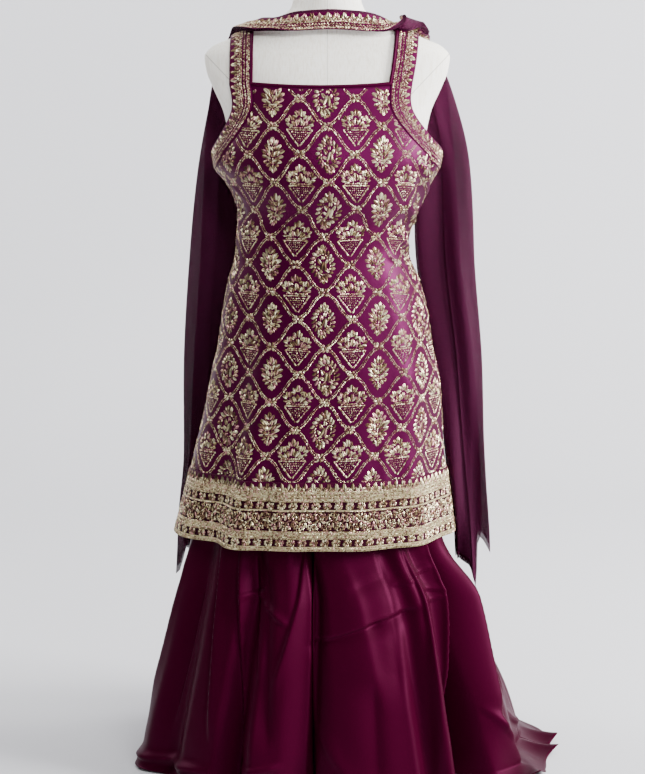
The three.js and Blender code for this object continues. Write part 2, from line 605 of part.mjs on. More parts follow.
// Frame of the folded bundle at row k of the table: its middle, the way across it towards the neck,
// the way out from the body, and its measures
function bundle(k) {
  const at = (name) => column(SCARF_ROWS, name, "k", k);
  const before = scarfPoint(Math.max(k - 0.01, 0));
  const along = scarfPoint(Math.min(k + 0.01, SCARF.length - 1)).sub(before).normalize();
  const across = new THREE.Vector3(at("across_x"), 0, at("across_z"));
  across.addScaledVector(along, -across.dot(along)).normalize();
  return {
    middle: scarfPoint(k),
    along,
    across,
    out: along.clone().cross(across),
    half: at("half"),
    step: at("step"),
    fall: at("fall"),
  };
}

const turnShare = (turn, fall) => lerp(turn.neck, turn.fall, fall);

// Across one bundle: each layer runs from one turn to the next, and a small round joins two layers
function bundleSection(k) {
  const { middle, along, across, out, half, step, fall } = bundle(k);
  const end = k === 0 ? 1 : k === SCARF.length - 1 ? -1 : 0;
  const place = (sideways, outwards, number) =>
    middle
      .clone()
      .addScaledVector(across, sideways)
      .addScaledVector(out, outwards)
      .addScaledVector(along, end * SCARF_RAGGED * Math.sin(number * 0.9));
  const section = [];
  const layers = SCARF_TURNS.length - 1;
  for (let layer = 0; layer < layers; layer++) {
    const from = turnShare(SCARF_TURNS[layer], fall) * half;
    const to = turnShare(SCARF_TURNS[layer + 1], fall) * half;
    const back = (Math.sign(to - from) * step) / 2;
    const outwards = ((layers - 1) / 2 - layer) * step;
    section.push(place(layer ? from + back : from, outwards, section.length));
    if (layer === 0) section.push(place(from + SCARF_BORDER_WIDTH, outwards, section.length));
    section.push(place(layer < layers - 1 ? to - back : to, outwards, section.length));
    if (layer < layers - 1) section.push(place(to, outwards - step / 2, section.length));
  }
  return section;
}

// Every second layer runs the other way, so its cells are split along the other diagonal and all
// layers stay parallel where the bundle twists
const runsBack = (j) => j > 3 && Math.floor((j - 4) / 3) % 2 === 0;

// Rows of one stretch
const stretch = (from, to, count) => steps(count).map((t) => lerp(from, to, t));

const SCARF_GAP = 0.008; // of one row: leaves a seam's gap between two stretches
const stretches = {
  fall_right: stretch(0, SCARF_NECK.from - SCARF_GAP, 10),
  neck: stretch(SCARF_NECK.from + SCARF_GAP, SCARF_NECK.to - SCARF_GAP, 14),
  fall_left: stretch(SCARF_NECK.to + SCARF_GAP, SCARF.length - 1, 9),
};

// Gold border: the first two columns of the bundle, moved out
function scarfBorder(grid, ks) {
  const columns = grid.map((row) => row.slice(0, 2));
  const facing = Math.sign(grid[0][0].n.dot(bundle(ks[0]).out));
  return wall(moved(columns, facing * (CHIFFON / 2 + SEAM + CHIFFON / 2)), CHIFFON);
}

// Dress form and stand

function dressForm() {
  const point = (degrees, z) => sectionPoint(FORM, degrees, z);
  const around = ROUND_COLUMNS;
  const points = FORM.flatMap(({ z }) =>
    steps(around).slice(0, -1).map((t) => point(360 * t, z)),
  );
  const top = points.push(new THREE.Vector3(0, 0, FORM[0].z)) - 1;
  const bottom = points.push(new THREE.Vector3(0, 0, FORM[FORM.length - 1].z)) - 1;
  const index = [];
  const lowest = FORM.length - 1;
  for (let j = 0; j < around; j++) {
    const next = (j + 1) % around;
    index.push(top, j, next);
    index.push(bottom, lowest * around + next, lowest * around + j);
    for (let i = 0; i < lowest; i++) {
      const [a, b] = [i * around + j, i * around + next];
      index.push(a, a + around, b + around, a, b + around, b);
    }
  }
  return solid(points, index);
}

// Solid of revolution about Z from its outline as radius and height
function turned(outline, segments) {
  const profile = outline.map(([radius, z]) => new THREE.Vector2(radius, z));
  const geometry = new THREE.LatheGeometry(profile, segments);
  return geometry.rotateX(Math.PI / 2);
}

const pole = () => {
  const top = FORM[FORM.length - 1].z - SEAM;
  const bottom = BASE_HEIGHT + SEAM;
  return turned([[0, bottom], [POLE_RADIUS, bottom], [POLE_RADIUS, top], [0, top]], 32);
};

const base = () =>
  turned(
    [[0, 0], [BASE_RADIUS, 0], [BASE_RADIUS, BASE_HEIGHT - 3], [BASE_RADIUS - 3, BASE_HEIGHT], [0, BASE_HEIGHT]],
    56,
  );

const group = new THREE.Group();

function add(name, geometry, color, roughness, metalness = 0) {
  const mesh = new THREE.Mesh(geometry, new THREE.MeshStandardMaterial({ color, roughness, metalness }));
  mesh.name = name;
  group.add(mesh);
}

const LINEN = 0xe4e0d4;
const STEEL = 0x8a8784;
const EMBROIDERED = 0x6b2a4c;
const GOLD = 0xb9ab7c;
const SATIN = 0x4a0232;
const SHEER = 0x5c1145;

const front = tunicPanel(-1);
const back = tunicPanel(1);
add("kameez_front", wall(front, CLOTH), EMBROIDERED, 0.5);
add("kameez_back", wall(back, CLOTH), EMBROIDERED, 0.5);
add("hem_border_front", hemBorder(front), GOLD, 0.4, 0.6);
add("hem_border_back", hemBorder(back), GOLD, 0.4, 0.6);
add("strap_band_right", strapBand(STRAPS[0]), GOLD, 0.4, 0.6);
add("strap_band_left", strapBand(STRAPS[1]), GOLD, 0.4, 0.6);
add("neck_binding", neckBinding(), SATIN, 0.4);
add("sharara_waistband", waistband(), SATIN, 0.4);
add("sharara_front_right", legPanel(-1, -1, RIGHT_LEG_FOLDS), SATIN, 0.4);
add("sharara_back_right", legPanel(-1, 1, RIGHT_LEG_FOLDS), SATIN, 0.4);
add("sharara_front_left", legPanel(1, -1, LEFT_LEG_FOLDS), SATIN, 0.4);
add("sharara_back_left", legPanel(1, 1, LEFT_LEG_FOLDS), SATIN, 0.4);
for (const [name, ks] of Object.entries(stretches)) {
  const grid = places(ks.map(bundleSection));
  add(`dupatta_${name}`, wall(grid, CHIFFON, { swap: runsBack }), SHEER, 0.7);
  add(`dupatta_border_${name}`, scarfBorder(grid, ks), GOLD, 0.4, 0.6);
}
add("form_torso", dressForm(), LINEN, 0.9);
add("stand_pole", pole(), STEEL, 0.35, 0.9);
add("stand_base", base(), STEEL, 0.35, 0.9);

export default group;
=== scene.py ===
"""Sharara suit on a dress form: an embroidered sleeveless tunic, wide satin trousers that pool on the
floor and a pleated chiffon scarf across the neck. Lengths in the tables are millimetres."""

import bpy
import numpy as np
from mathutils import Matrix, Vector


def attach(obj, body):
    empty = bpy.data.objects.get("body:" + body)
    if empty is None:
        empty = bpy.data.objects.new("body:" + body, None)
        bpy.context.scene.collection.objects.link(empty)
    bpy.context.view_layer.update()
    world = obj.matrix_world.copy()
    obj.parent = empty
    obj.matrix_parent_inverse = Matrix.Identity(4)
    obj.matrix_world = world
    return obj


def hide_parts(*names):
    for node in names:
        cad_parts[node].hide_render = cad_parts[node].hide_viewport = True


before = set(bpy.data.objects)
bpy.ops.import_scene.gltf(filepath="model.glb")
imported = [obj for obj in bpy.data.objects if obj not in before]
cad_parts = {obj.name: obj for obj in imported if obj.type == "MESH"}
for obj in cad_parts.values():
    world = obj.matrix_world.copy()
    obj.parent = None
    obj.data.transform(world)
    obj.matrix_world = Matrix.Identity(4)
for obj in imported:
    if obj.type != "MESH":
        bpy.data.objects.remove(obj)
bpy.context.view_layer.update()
scene = bpy.context.scene

# Camera
# Where the photograph was taken from: chest height, 2.6 m in front of the suit, aimed a little down.
camera_data = bpy.data.cameras.new("camera")
camera_data.lens = 75.83
camera = bpy.data.objects.new("camera", camera_data)
camera.location = (-0.0073, -2.6, 1.0)
camera_aim = Vector((-0.0073, 0.0, 0.605)) - camera.location
camera.rotation_euler = camera_aim.to_track_quat("-Z", "Y").to_euler()
scene.collection.objects.link(camera)
scene.camera = camera


# Studio
# A plain pale floor that curves up into the backdrop, a pale grey room and large soft lights, the
# strongest one from the viewer's right, as the bright right half of the tunic shows.
FLOOR_COLOR = (0.66, 0.66, 0.69)
ROOM_COLOR = (0.9, 0.9, 0.95)


def grid_mesh(name, points, uv=None, ring=False, keep=None, poles=()):
    """Object with quads between neighbouring points of a grid (rows, columns, 3) in millimetres.

    The outside is where columns run to the right while rows run up. uv is in metres of cloth. A ring
    joins the last column to the first, keep marks the cells that are cloth, and poles names the rows
    (0 or -1) that are closed to their middle.
    """
    rows, columns = points.shape[:2]
    number = np.arange(rows * columns).reshape(rows, columns)
    if ring:
        number = np.hstack([number, number[:, :1]])
    quads = np.stack([number[:-1, :-1], number[:-1, 1:], number[1:, 1:], number[1:, :-1]], -1)
    quads = quads[keep] if keep is not None else quads.reshape(-1, 4)
    used, corners = np.unique(quads, return_inverse=True)
    places = points.reshape(-1, 3)[used] * 0.001
    faces = corners.reshape(-1, 4).tolist()
    for row in poles:
        middle = len(places)
        places = np.vstack([places, points[row].mean(0) * 0.001])
        rim = number[row] if row else number[row][::-1]
        faces += np.stack([rim[:-1], rim[1:], np.full(len(rim) - 1, middle)], -1).tolist()
    mesh = bpy.data.meshes.new(name)
    mesh.from_pydata(places.tolist(), [], faces)
    if uv is not None:
        on_vertices = uv.reshape(-1, 2)[used]
        of_loops = np.empty(len(mesh.loops), np.int64)
        mesh.loops.foreach_get("vertex_index", of_loops)
        mesh.uv_layers.new(name="cloth").data.foreach_set("uv", on_vertices[of_loops].ravel())
    mesh.polygons.foreach_set("use_smooth", np.ones(len(mesh.polygons), bool))
    made = bpy.data.objects.new(name, mesh)
    scene.collection.objects.link(made)
    return made


def node(tree, kind, sockets=None, **settings):
    """A shader node with its settings, and its sockets given as numbers or as another node's output."""
    made = tree.nodes.new(kind)
    for name, value in settings.items():
        setattr(made, name, value)
    for socket, value in (sockets or {}).items():
        if isinstance(value, bpy.types.NodeSocket):
            tree.links.new(value, made.inputs[socket])
        else:
            made.inputs[socket].default_value = value
    return made


def reckoned(tree, operation, *values):
    """Output of a sum on numbers or other nodes' outputs."""
    return node(tree, "ShaderNodeMath", dict(enumerate(values)), operation=operation).outputs[0]


def scaled(tree, place, scale):
    """A place with each axis stretched by a scale."""
    return node(tree, "ShaderNodeMapping", {"Vector": place, "Scale": scale}).outputs["Vector"]


def noise(tree, place, scale, detail=2):
    """Noise at a scale on a place."""
    sockets = {"Vector": place, "Scale": scale, "Detail": detail}
    return node(tree, "ShaderNodeTexNoise", sockets).outputs["Fac"]


def material(name, color, roughness, **more):
    """A material, its node tree and its shader; more sets further sockets of the shader."""
    made = bpy.data.materials.new(name)
    made.use_nodes = True
    shader = made.node_tree.nodes["Principled BSDF"]
    shader.inputs["Base Color"].default_value = (*color, 1)
    shader.inputs["Roughness"].default_value = roughness
    for socket, value in more.items():
        shader.inputs[socket.replace("_", " ")].default_value = value
    return made, made.node_tree, shader


def colors_of(tree, factor, stops, interpolation="LINEAR"):
    """Colour output of a ramp whose stops are (place, linear colour)."""
    ramp = node(tree, "ShaderNodeValToRGB", {"Fac": factor})
    ramp.color_ramp.interpolation = interpolation
    while len(ramp.color_ramp.elements) < len(stops):
        ramp.color_ramp.elements.new(0.5)
    for element, (place, color) in zip(ramp.color_ramp.elements, stops):
        element.position = place
        element.color = (*color, 1)
    return ramp.outputs["Color"]


def set_bump(tree, shader, height, strength, distance):
    """Lets a height output roughen the shader's surface by a distance in metres."""
    bump = node(tree, "ShaderNodeBump", {"Height": height, "Strength": strength, "Distance": distance})
    tree.links.new(bump.outputs["Normal"], shader.inputs["Normal"])


SWEEP_RADIUS, SWEEP_BACK, SWEEP_REACH, SWEEP_HALF = 1200, 3000, 6000, 7000
bend = np.radians(np.linspace(0, 90, 25))
flat_end = SWEEP_BACK - SWEEP_RADIUS
sweep_y = np.concatenate([[-SWEEP_REACH], flat_end + SWEEP_RADIUS * np.sin(bend), [SWEEP_BACK]])
sweep_z = np.concatenate([[0], SWEEP_RADIUS - SWEEP_RADIUS * np.cos(bend), [SWEEP_REACH]])
sweep = np.stack(np.broadcast_arrays([[-SWEEP_HALF], [SWEEP_HALF]], sweep_y, sweep_z), -1)
floor = grid_mesh("floor", sweep.transpose(1, 0, 2))
floor_material, _, _ = material("floor", FLOOR_COLOR, 0.85)
floor.data.materials.append(floor_material)

room = bpy.data.worlds.new("room")
room.use_nodes = True
room.node_tree.nodes["Background"].inputs["Color"].default_value = (*ROOM_COLOR, 1)
room.node_tree.nodes["Background"].inputs["Strength"].default_value = 0.1
scene.world = room

for name, place, aimed_at, size, power, kind in [
    ("key", (3.3, -0.9, 1.9), (0, 0, 0.8), 1.3, 350, "AREA"),
    ("front", (1.6, -3.3, 2.3), (0, 0, 0.9), 1.6, 68, "AREA"),
    ("top", (0.2, -0.2, 3.4), (0, 0, 0.7), 2.0, 44, "AREA"),
    ("chest", (0.4, -2.3, 2.2), (0, 0, 1.17), 0.3, 260, "SPOT"),
    ("backdrop right", (2.4, 0.7, 2.6), (0.5, 3.0, 0.9), 1.8, 130, "AREA"),
    ("backdrop left", (-2.4, 0.7, 2.6), (-0.5, 3.0, 0.9), 1.8, 105, "AREA"),
]:
    lamp = bpy.data.lights.new(name, kind)
    if kind == "AREA":
        lamp.size = size
    else:
        lamp.shadow_soft_size, lamp.spot_size, lamp.spot_blend = size, np.radians(15), 1.0
    lamp.energy = power
    lamp_object = bpy.data.objects.new(name, lamp)
    lamp_object.location = place
    aim = Vector(aimed_at) - lamp_object.location
    lamp_object.rotation_euler = aim.to_track_quat("-Z", "Y").to_euler()
    scene.collection.objects.link(lamp_object)


# Dress form
# A limbless padded torso covered in slubby natural linen, sewn with a seam down the centre and one
# round each shoulder cap, and closed by a plain cap at the top of the neck.
LINEN_COLOR = (0.96, 0.92, 0.84)
SLUB_COLOR, BLEACHED_COLOR = (0.84, 0.79, 0.69), (0.99, 0.97, 0.92)
# Colour of the painted shadow in the seams' grooves
SEAM_SHADOW_COLOR = (0.42, 0.39, 0.33)
FORM_LOW_Z, FORM_TOP_Z, CAP_SEAM = 520, 1244, -0.6551


def table(names, rows):
    """Named columns of a table."""
    return dict(zip(names.split(), np.array(rows, float).T))


FORM = table(
    "z half front back square",
    [
        (1244, 51, 47, 57, 2.0), (1215, 53, 50, 58, 2.0), (1200, 58, 52, 60, 2.0), (1188, 74, 54, 62, 2.0),
        (1176, 100, 56, 65, 2.0), (1164, 130, 58, 69, 2.05), (1154, 155, 61, 73, 2.1),
        (1143, 180, 64, 77, 2.15), (1127, 192, 69, 82, 2.2), (1106, 189, 74, 86, 2.2),
        (1080, 179, 80, 89, 2.2), (1040, 162, 94, 92, 2.2), (985, 152, 112, 93, 2.15),
        (935, 146, 117, 87, 2.1), (885, 126, 96, 79, 2.1), (835, 112, 82, 76, 2.1),
        (760, 133, 86, 90, 2.15), (680, 153, 93, 106, 2.2), (600, 158, 94, 108, 2.2),
        (520, 150, 86, 98, 2.2),
    ],
)  # fmt: skip
FORM["shift"] = np.zeros(len(FORM["z"]))


def column(rows, name, key, at):
    """One named column of a table at places of its key column.

    A cubic curve through the rows. Its slope at a row is the harmonic mean of the slopes on either
    side, or 0 where they differ in sign, so it never overshoots.
    """
    order = np.argsort(rows[key])
    x, y = rows[key][order], rows[name][order]
    slope = np.diff(y) / np.diff(x)
    before, after = np.append(slope[0], slope), np.append(slope, slope[-1])
    same = before * after > 0
    tangent = np.where(same, 2 * before * after / np.where(same, before + after, 1), 0)
    at = np.clip(at, x[0], x[-1])
    i = np.clip(np.searchsorted(x, at, side="right") - 1, 0, len(x) - 2)
    gap = x[i + 1] - x[i]
    t = (at - x[i]) / gap
    return (
        (2 * t**3 - 3 * t**2 + 1) * y[i]
        + (t**3 - 2 * t**2 + t) * gap * tangent[i]
        + (3 * t**2 - 2 * t**3) * y[i + 1]
        + (t**3 - t**2) * gap * tangent[i + 1]
    )


def level_section(rows, degrees, z):
    """Points at angles from the front, turning towards +X, on level sections of a table.

    A section is a superellipse: x = shift + half * |sin|^(2/square), y = -depth * |cos|^(2/square),
    each with the sign of its sine or cosine, and with one depth in front and another behind.
    """
    degrees, z = np.broadcast_arrays(np.asarray(degrees, float), np.asarray(z, float))
    s, c = np.sin(np.radians(degrees)), np.cos(np.radians(degrees))
    power = 2 / column(rows, "square", "z", z)
    depth = np.where(c > 0, column(rows, "front", "z", z), column(rows, "back", "z", z))
    x = column(rows, "shift", "z", z) + column(rows, "half", "z", z) * np.sign(s) * np.abs(s) ** power
    return np.stack([x, -depth * np.sign(c) * np.abs(c) ** power, z], -1)


def pushed_out(points, degrees, out):
    """Points moved level, away from the body's axis, by a distance."""
    away = np.stack([np.sin(np.radians(degrees)), -np.cos(np.radians(degrees)), 0 * degrees], -1)
    return points + away * out[..., None]


def finish_piece(piece, slot, *nodes):
    """Hangs a finished piece from the root and hides the CAD nodes that it may stand for. Its slot is not
    used."""
    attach(piece, "root")
    if nodes:
        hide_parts(*nodes)


form_around = np.linspace(0, 360, 180, endpoint=False)
form_points = level_section(FORM, form_around[None, :], np.linspace(FORM_LOW_Z, FORM_TOP_Z, 200)[:, None])
# The cap rises a little as it closes in: share of the neck's width, and rise
FORM_CAP = table("share rise", [(0.99, 1.5), (0.965, 3.0), (0.92, 4.0), (0.6, 4.6)])
form_cap = np.repeat(form_points[-1:], 4, 0)
form_cap[..., :2] *= FORM_CAP["share"][:, None, None]
form_cap[..., 2] += FORM_CAP["rise"][:, None]
form = grid_mesh("form_linen", np.vstack([form_points, form_cap]), ring=True, poles=(0, -1))

linen, tree, shader = material("linen", LINEN_COLOR, 0.88)
place = node(tree, "ShaderNodeTexCoord").outputs["Object"]
slubs = noise(tree, scaled(tree, place, (420, 420, 22)), 1, 4)
weave = noise(tree, scaled(tree, place, (60, 60, 900)), 1)
cloth_color = colors_of(tree, slubs, [(0.30, SLUB_COLOR), (0.52, LINEN_COLOR), (0.75, BLEACHED_COLOR)])
split_place = node(tree, "ShaderNodeSeparateXYZ", {"Vector": place}).outputs
# The centre seam is where |x| is near 0, and a cap's seam where 0.72 |x| - 0.70 z is near a constant; along
# both, the shadow in each seam's groove is painted on as a darker line
side = reckoned(tree, "ABSOLUTE", split_place["X"])
cap_height = reckoned(tree, "MULTIPLY", split_place["Z"], 0.70)
cap_off = reckoned(tree, "SUBTRACT", reckoned(tree, "MULTIPLY", side, 0.72), cap_height)
cap_line = reckoned(tree, "COMPARE", cap_off, CAP_SEAM, 0.0008)
centre_line = reckoned(tree, "COMPARE", side, 0.0, 0.0006)
# How much of the painted seam shadow colour is mixed into the linen
shade = reckoned(tree, "MULTIPLY", reckoned(tree, "MAXIMUM", cap_line, centre_line), 0.6)
mixed_colors = {"Factor": shade, 6: cloth_color, 7: (*SEAM_SHADOW_COLOR, 1)}
painted = node(tree, "ShaderNodeMix", mixed_colors, data_type="RGBA").outputs[2]
tree.links.new(painted, shader.inputs["Base Color"])
set_bump(tree, shader, reckoned(tree, "ADD", slubs, weave), 0.35, 0.0006)
form.data.materials.append(linen)
finish_piece(form, "linen", "form_torso")


# Stand
# A steel tube pole in a heavy round base plate with a satin finish, hidden inside the trousers.
steel, _, _ = material("stand steel", (0.46, 0.45, 0.44), 0.32, Metallic=1.0)
for name in ("stand_pole", "stand_base"):
    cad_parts[name].data.materials.clear()
    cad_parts[name].data.materials.append(steel)


# Trousers
# Plain satin in four panels, front and back of each very wide leg, gathered to an elastic waistband.
# The folds open below the hip, and the back hem lies out on the floor at the viewer's right.
SATIN_COLOR = (0.030, 0.0, 0.008)
WAISTBAND_TOP_Z, WAISTBAND_Z, CROTCH_Z = 846, 820, 470
SEAM_GAP, CLOTH_WALL = 0.3, 0.0009
SPLIT_X, SPLIT_FRONT_SHIFT, SPLIT_TOP_HALF, SPLIT_HALF, SPLIT_OPENS = -26, 8, 0.75, 1.2, 80
FACES = (("front", -1), ("back", 1))
FOLDS_START_Z, HEM_TURN_Z, HEM_Z_FLOOR, HEM_Z_INSIDE = 600, 14, 1.2, 14

TROUSERS = table(
    "z shift half front back square",
    [
        (846, 0, 121, 90, 84, 2.05), (820, 0, 119, 89, 84, 2.05), (760, -1, 139, 93, 97, 2.1),
        (680, -1, 161, 101, 115, 2.15), (600, -4, 168, 106, 116, 2.15), (540, -6, 177, 111, 118, 2.1),
        (470, -10, 192, 118, 122, 2.1), (371, -12, 207, 124, 126, 2.1), (280, 2, 243, 158, 158, 2.15),
        (190, 4, 266, 186, 186, 2.2), (90, 6, 292, 208, 208, 2.25), (0, 8, 312, 224, 226, 2.3),
    ],
)  # fmt: skip
# Folds of each leg: place round the body, depth at the floor, how soon it opens, reach on the floor
RIGHT_LEG_FOLDS = table(
    "angle out soon pool",
    [
        (0, -30, 0.6, 0), (-6, -20, 0.6, 0), (-13, 10, 0.8, 0), (-20, 20, 1.0, 4), (-27, -20, 0.8, 0),
        (-34, 14, 1.1, 8), (-45, 12, 1.3, 14), (-55, -14, 1.1, 8), (-68, 16, 1.2, 6), (-82, 2, 1.2, 0),
        (-97, -22, 1.0, 0), (-112, 18, 1.1, 10), (-127, -22, 0.9, 4), (-141, 20, 1.0, 14),
        (-153, -20, 0.9, 6), (-163, 18, 1.0, 12), (-169, 4, 0.8, 4), (-174, -20, 0.6, 0),
        (-180, -30, 0.6, 0),
    ],
)  # fmt: skip
LEFT_LEG_FOLDS = table(
    "angle out soon pool",
    [
        (-12, -30, 0.6, 0), (-6, -20, 0.6, 0), (1, 8, 0.8, 0), (11, 16, 1.2, 0), (21, 14, 1.2, 2),
        (27, -16, 0.9, 0), (33, 12, 0.9, 0), (42, -50, 1.05, 4), (52, 10, 1.2, 22), (64, 14, 1.4, 42),
        (80, -4, 1.3, 58), (97, 12, 1.0, 54), (112, 18, 1.3, 32), (126, -22, 0.9, 12), (140, 20, 1.0, 12),
        (151, -20, 0.9, 4), (162, 20, 1.0, 12), (172, 14, 0.9, 4), (180, 0, 0.8, 0), (186, -20, 0.6, 0),
        (192, -30, 0.6, 0),
    ],
)  # fmt: skip
# Where the scarf's left end presses the cloth in beside the hip
DENT = {"angle": 103, "z": 288, "depth": 54, "spread": 20, "tall": 128}
# Finer creases in the satin: each runs from one place (angle, z) down to another, with its depth (out
# is positive) and how far it spreads to its left and right, one side often steeper
SATIN_CREASES = table(
    "angle z angle_to z_to depth left right",
    [
        (-46, 390, -35, 60, 9, 3, 18), (-35, 390, -23, 5, 14, 3, 24), (-22, 370, -16, 60, -10, 20, 7),
        (-28, 390, -20, 150, 5, 3, 12), (-31, 300, -24, 60, -4, 5, 8), (-4, 392, -17, 150, 6, 3, 12),
        (-5, 420, -6, -40, 16, 34, 3), (-2, 400, -4, 20, -8, 4, 4), (35, 281, 10, 252, -7, 3, 15),
        (20, 268, -8, 224, -9, 3, 18), (26, 330, 6, 306, -2, 5, 9), (-24, 289, -12, 256, 5, 3, 6),
        (-22, 302, -33, 296, 6, 3, 6), (24, 311, 36, 319, 4, 3, 6), (37, 322, 50, 334, 4, 3, 6),
        (37, 304, 51, 296, 4, 3, 6), (36, 281, 50, 289, 4, 3, 6), (38, 400, 29, 0, 13, 4, 24),
        (43, 450, 42, 100, 20, 34, 34), (27, 430, 27, -60, 10, 20, 20), (55, 430, 38, -60, -58, 3, 30),
        (69, 350, 58, 60, 18, 26, 6), (84, 320, 72, 80, 7, 8, 12), (57, 110, 67, 0, 12, 18, 6),
        (-6, 130, 5, 10, 4, 3, 10), (-30, 36, -84, 16, 12, 8, 10), (-11, 54, -27, 36, 8, 5, 9),
        (8, 370, 14, 120, 5, 26, 10), (24, 380, 20, 130, -6, 14, 9), (-56, 340, -60, 50, -8, 16, 5),
        (-70, 400, -76, 70, 8, 4, 16), (-88, 500, -92, 200, -6, 9, 14), (12, 190, 10, 10, -6, 16, 9),
        (52, 120, 66, 40, 6, 4, 10), (76, 80, 96, 30, 8, 6, 9), (88, 220, 94, 20, -9, 6, 14),
        (102, 420, 104, 150, 9, 4, 15), (-104, 420, -107, 100, 9, 15, 4), (-119, 350, -121, 30, -9, 5, 14),
        (-133, 420, -135, 110, 9, 4, 16), (-147, 330, -146, 30, -8, 14, 5),
        (-158, 400, -158, 110, 9, 4, 16), (118, 370, 120, 80, -9, 5, 16), (133, 420, 132, 100, 9, 15, 4),
        (145, 340, 147, 30, -8, 5, 13), (156, 410, 157, 110, 8, 4, 15), (167, 300, 166, 30, -7, 12, 5),
        (-128, 154, -100, 116, 6, 3, 9), (172, 236, 150, 196, 6, 3, 9), (-150, 254, -172, 210, 5, 3, 9),
    ],
)  # fmt: skip


def creases(rows, degrees, z, radius):
    """Distance out of all the creases of a table at places (degrees, z) of a body of about a radius.

    A crease is a bell across its line, depth * exp(-(d / spread)^1.6), with a shallow furrow on either
    side and the spread of the side that d lies on. It tapers to nothing at both ends.
    """
    out = 0 * degrees
    turn = np.radians(1) * radius
    for angle, top, angle_to, low, depth, left, right in zip(*rows.values()):
        way = np.array([(angle_to - angle) * turn, low - top])
        length = np.hypot(*way)
        way = way / length
        gap = (degrees - angle + 180) % 360 - 180
        across, down = gap * turn, z - top
        share = (across * way[0] + down * way[1]) / length
        aside = across * way[1] - down * way[0]
        aside = aside / np.where(aside > 0, left, right)
        taper = np.clip(np.minimum(share, 1 - share) * 4, 0, 1)
        bell = np.exp(-np.abs(aside) ** 1.6) - 0.25 * np.exp(-((aside / 2.2) ** 2))
        out = out + depth * bell * taper * taper * (3 - 2 * taper)
    return out


def trouser_surface(degrees, height, folds):
    """Points of one leg's outer cloth at angles and heights.

    Below FOLDS_START_Z each fold of the table grows with the fall: out * open^soon. Below HEM_TURN_Z
    the cloth turns and runs out along the floor by the fold's pool, in flaps of uneven width.
    """
    degrees, height = np.broadcast_arrays(np.asarray(degrees, float), np.asarray(height, float))
    z = np.maximum(height, HEM_TURN_Z)
    on_floor = np.clip(1 - height / HEM_TURN_Z, 0, 1)
    fold = lambda name: column(folds, name, "angle", degrees)
    opening = np.clip((FOLDS_START_Z - z) / FOLDS_START_Z, 0, 1) ** fold("soon")
    pool = fold("pool")
    aside, above = (degrees - DENT["angle"]) / DENT["spread"], (z - DENT["z"]) / DENT["tall"]
    dent = DENT["depth"] * np.exp(-(aside**2) - above**2)
    out = fold("out") * opening + pool * on_floor - dent + creases(SATIN_CREASES, degrees, z, 220)
    p = pushed_out(level_section(TROUSERS, degrees, z), degrees, out)
    lies = np.clip(pool / 20, 0, 1)
    phase = (p[..., 0] + p[..., 1]) / 33 + 0.9 * np.sin(p[..., 1] / 37)
    flap = 1 - np.abs(np.sin(phase)) ** 0.8
    p = pushed_out(p, degrees, 0.3 * pool * on_floor * (flap - 0.4))
    p[..., 2] = z - (HEM_TURN_Z - HEM_Z_FLOOR) * (1 - (1 - on_floor) ** (1 + lies))
    p[..., 2] += 15 * flap * lies * on_floor
    return p


def split_x(y, z):
    """X of the wall between the legs: it leaves the centre for SPLIT_X from the waist down to the
    crotch, and waves by 9 mm every 104 mm below it."""
    fall = np.clip((WAISTBAND_Z - z) / (WAISTBAND_Z - CROTCH_Z), 0, 1)
    opening = np.clip((CROTCH_Z - z) / CROTCH_Z, 0, 1)
    wave = 0.5 - 0.5 * np.cos(2 * np.pi * y / 104)
    front = SPLIT_FRONT_SHIFT * np.clip(-y / 200, 0, 1)
    return (SPLIT_X + front) * fall * fall * (3 - 2 * fall) - 9 * wave * opening


def grid_runs(points):
    """Runs in metres along the columns (from the first) and down the rows of a grid, for its UV."""
    across = np.linalg.norm(np.diff(points, axis=1, prepend=points[:, :1]), axis=-1).cumsum(1)
    down = np.linalg.norm(np.diff(points, axis=0, prepend=points[:1]), axis=-1).cumsum(0)
    return np.stack([across, down], -1) * 0.001


def cloth_piece(name, points, uv, finish, slot, nodes, wall, **grid):
    """A finished piece of cloth: a grid with a wall in metres, half to each side, its material, its
    slot and the CAD nodes that it stands for."""
    piece = grid_mesh(name, points, uv, **grid)
    shell = piece.modifiers.new("thickness", "SOLIDIFY")
    shell.thickness = wall
    shell.offset = 0
    piece.data.materials.append(finish)
    finish_piece(piece, slot, *nodes)
    return piece


def crinkled(name, color, roughness, scale, detail, strength, distance, **more):
    """A cloth's material, roughened by noise on the cloth's own UV, and its tree, shader and UV."""
    made, tree, shader = material(name, color, roughness, **more)
    cloth = node(tree, "ShaderNodeTexCoord").outputs["UV"]
    set_bump(tree, shader, noise(tree, cloth, scale, detail), strength, distance)
    return made, tree, shader, cloth


# Rows from the waist to the crotch, on to the floor and along it, and columns outside and inside
LEG_ROWS, LEG_COLUMNS, INNER_COLUMNS = (70, 150, 12), 181, 27


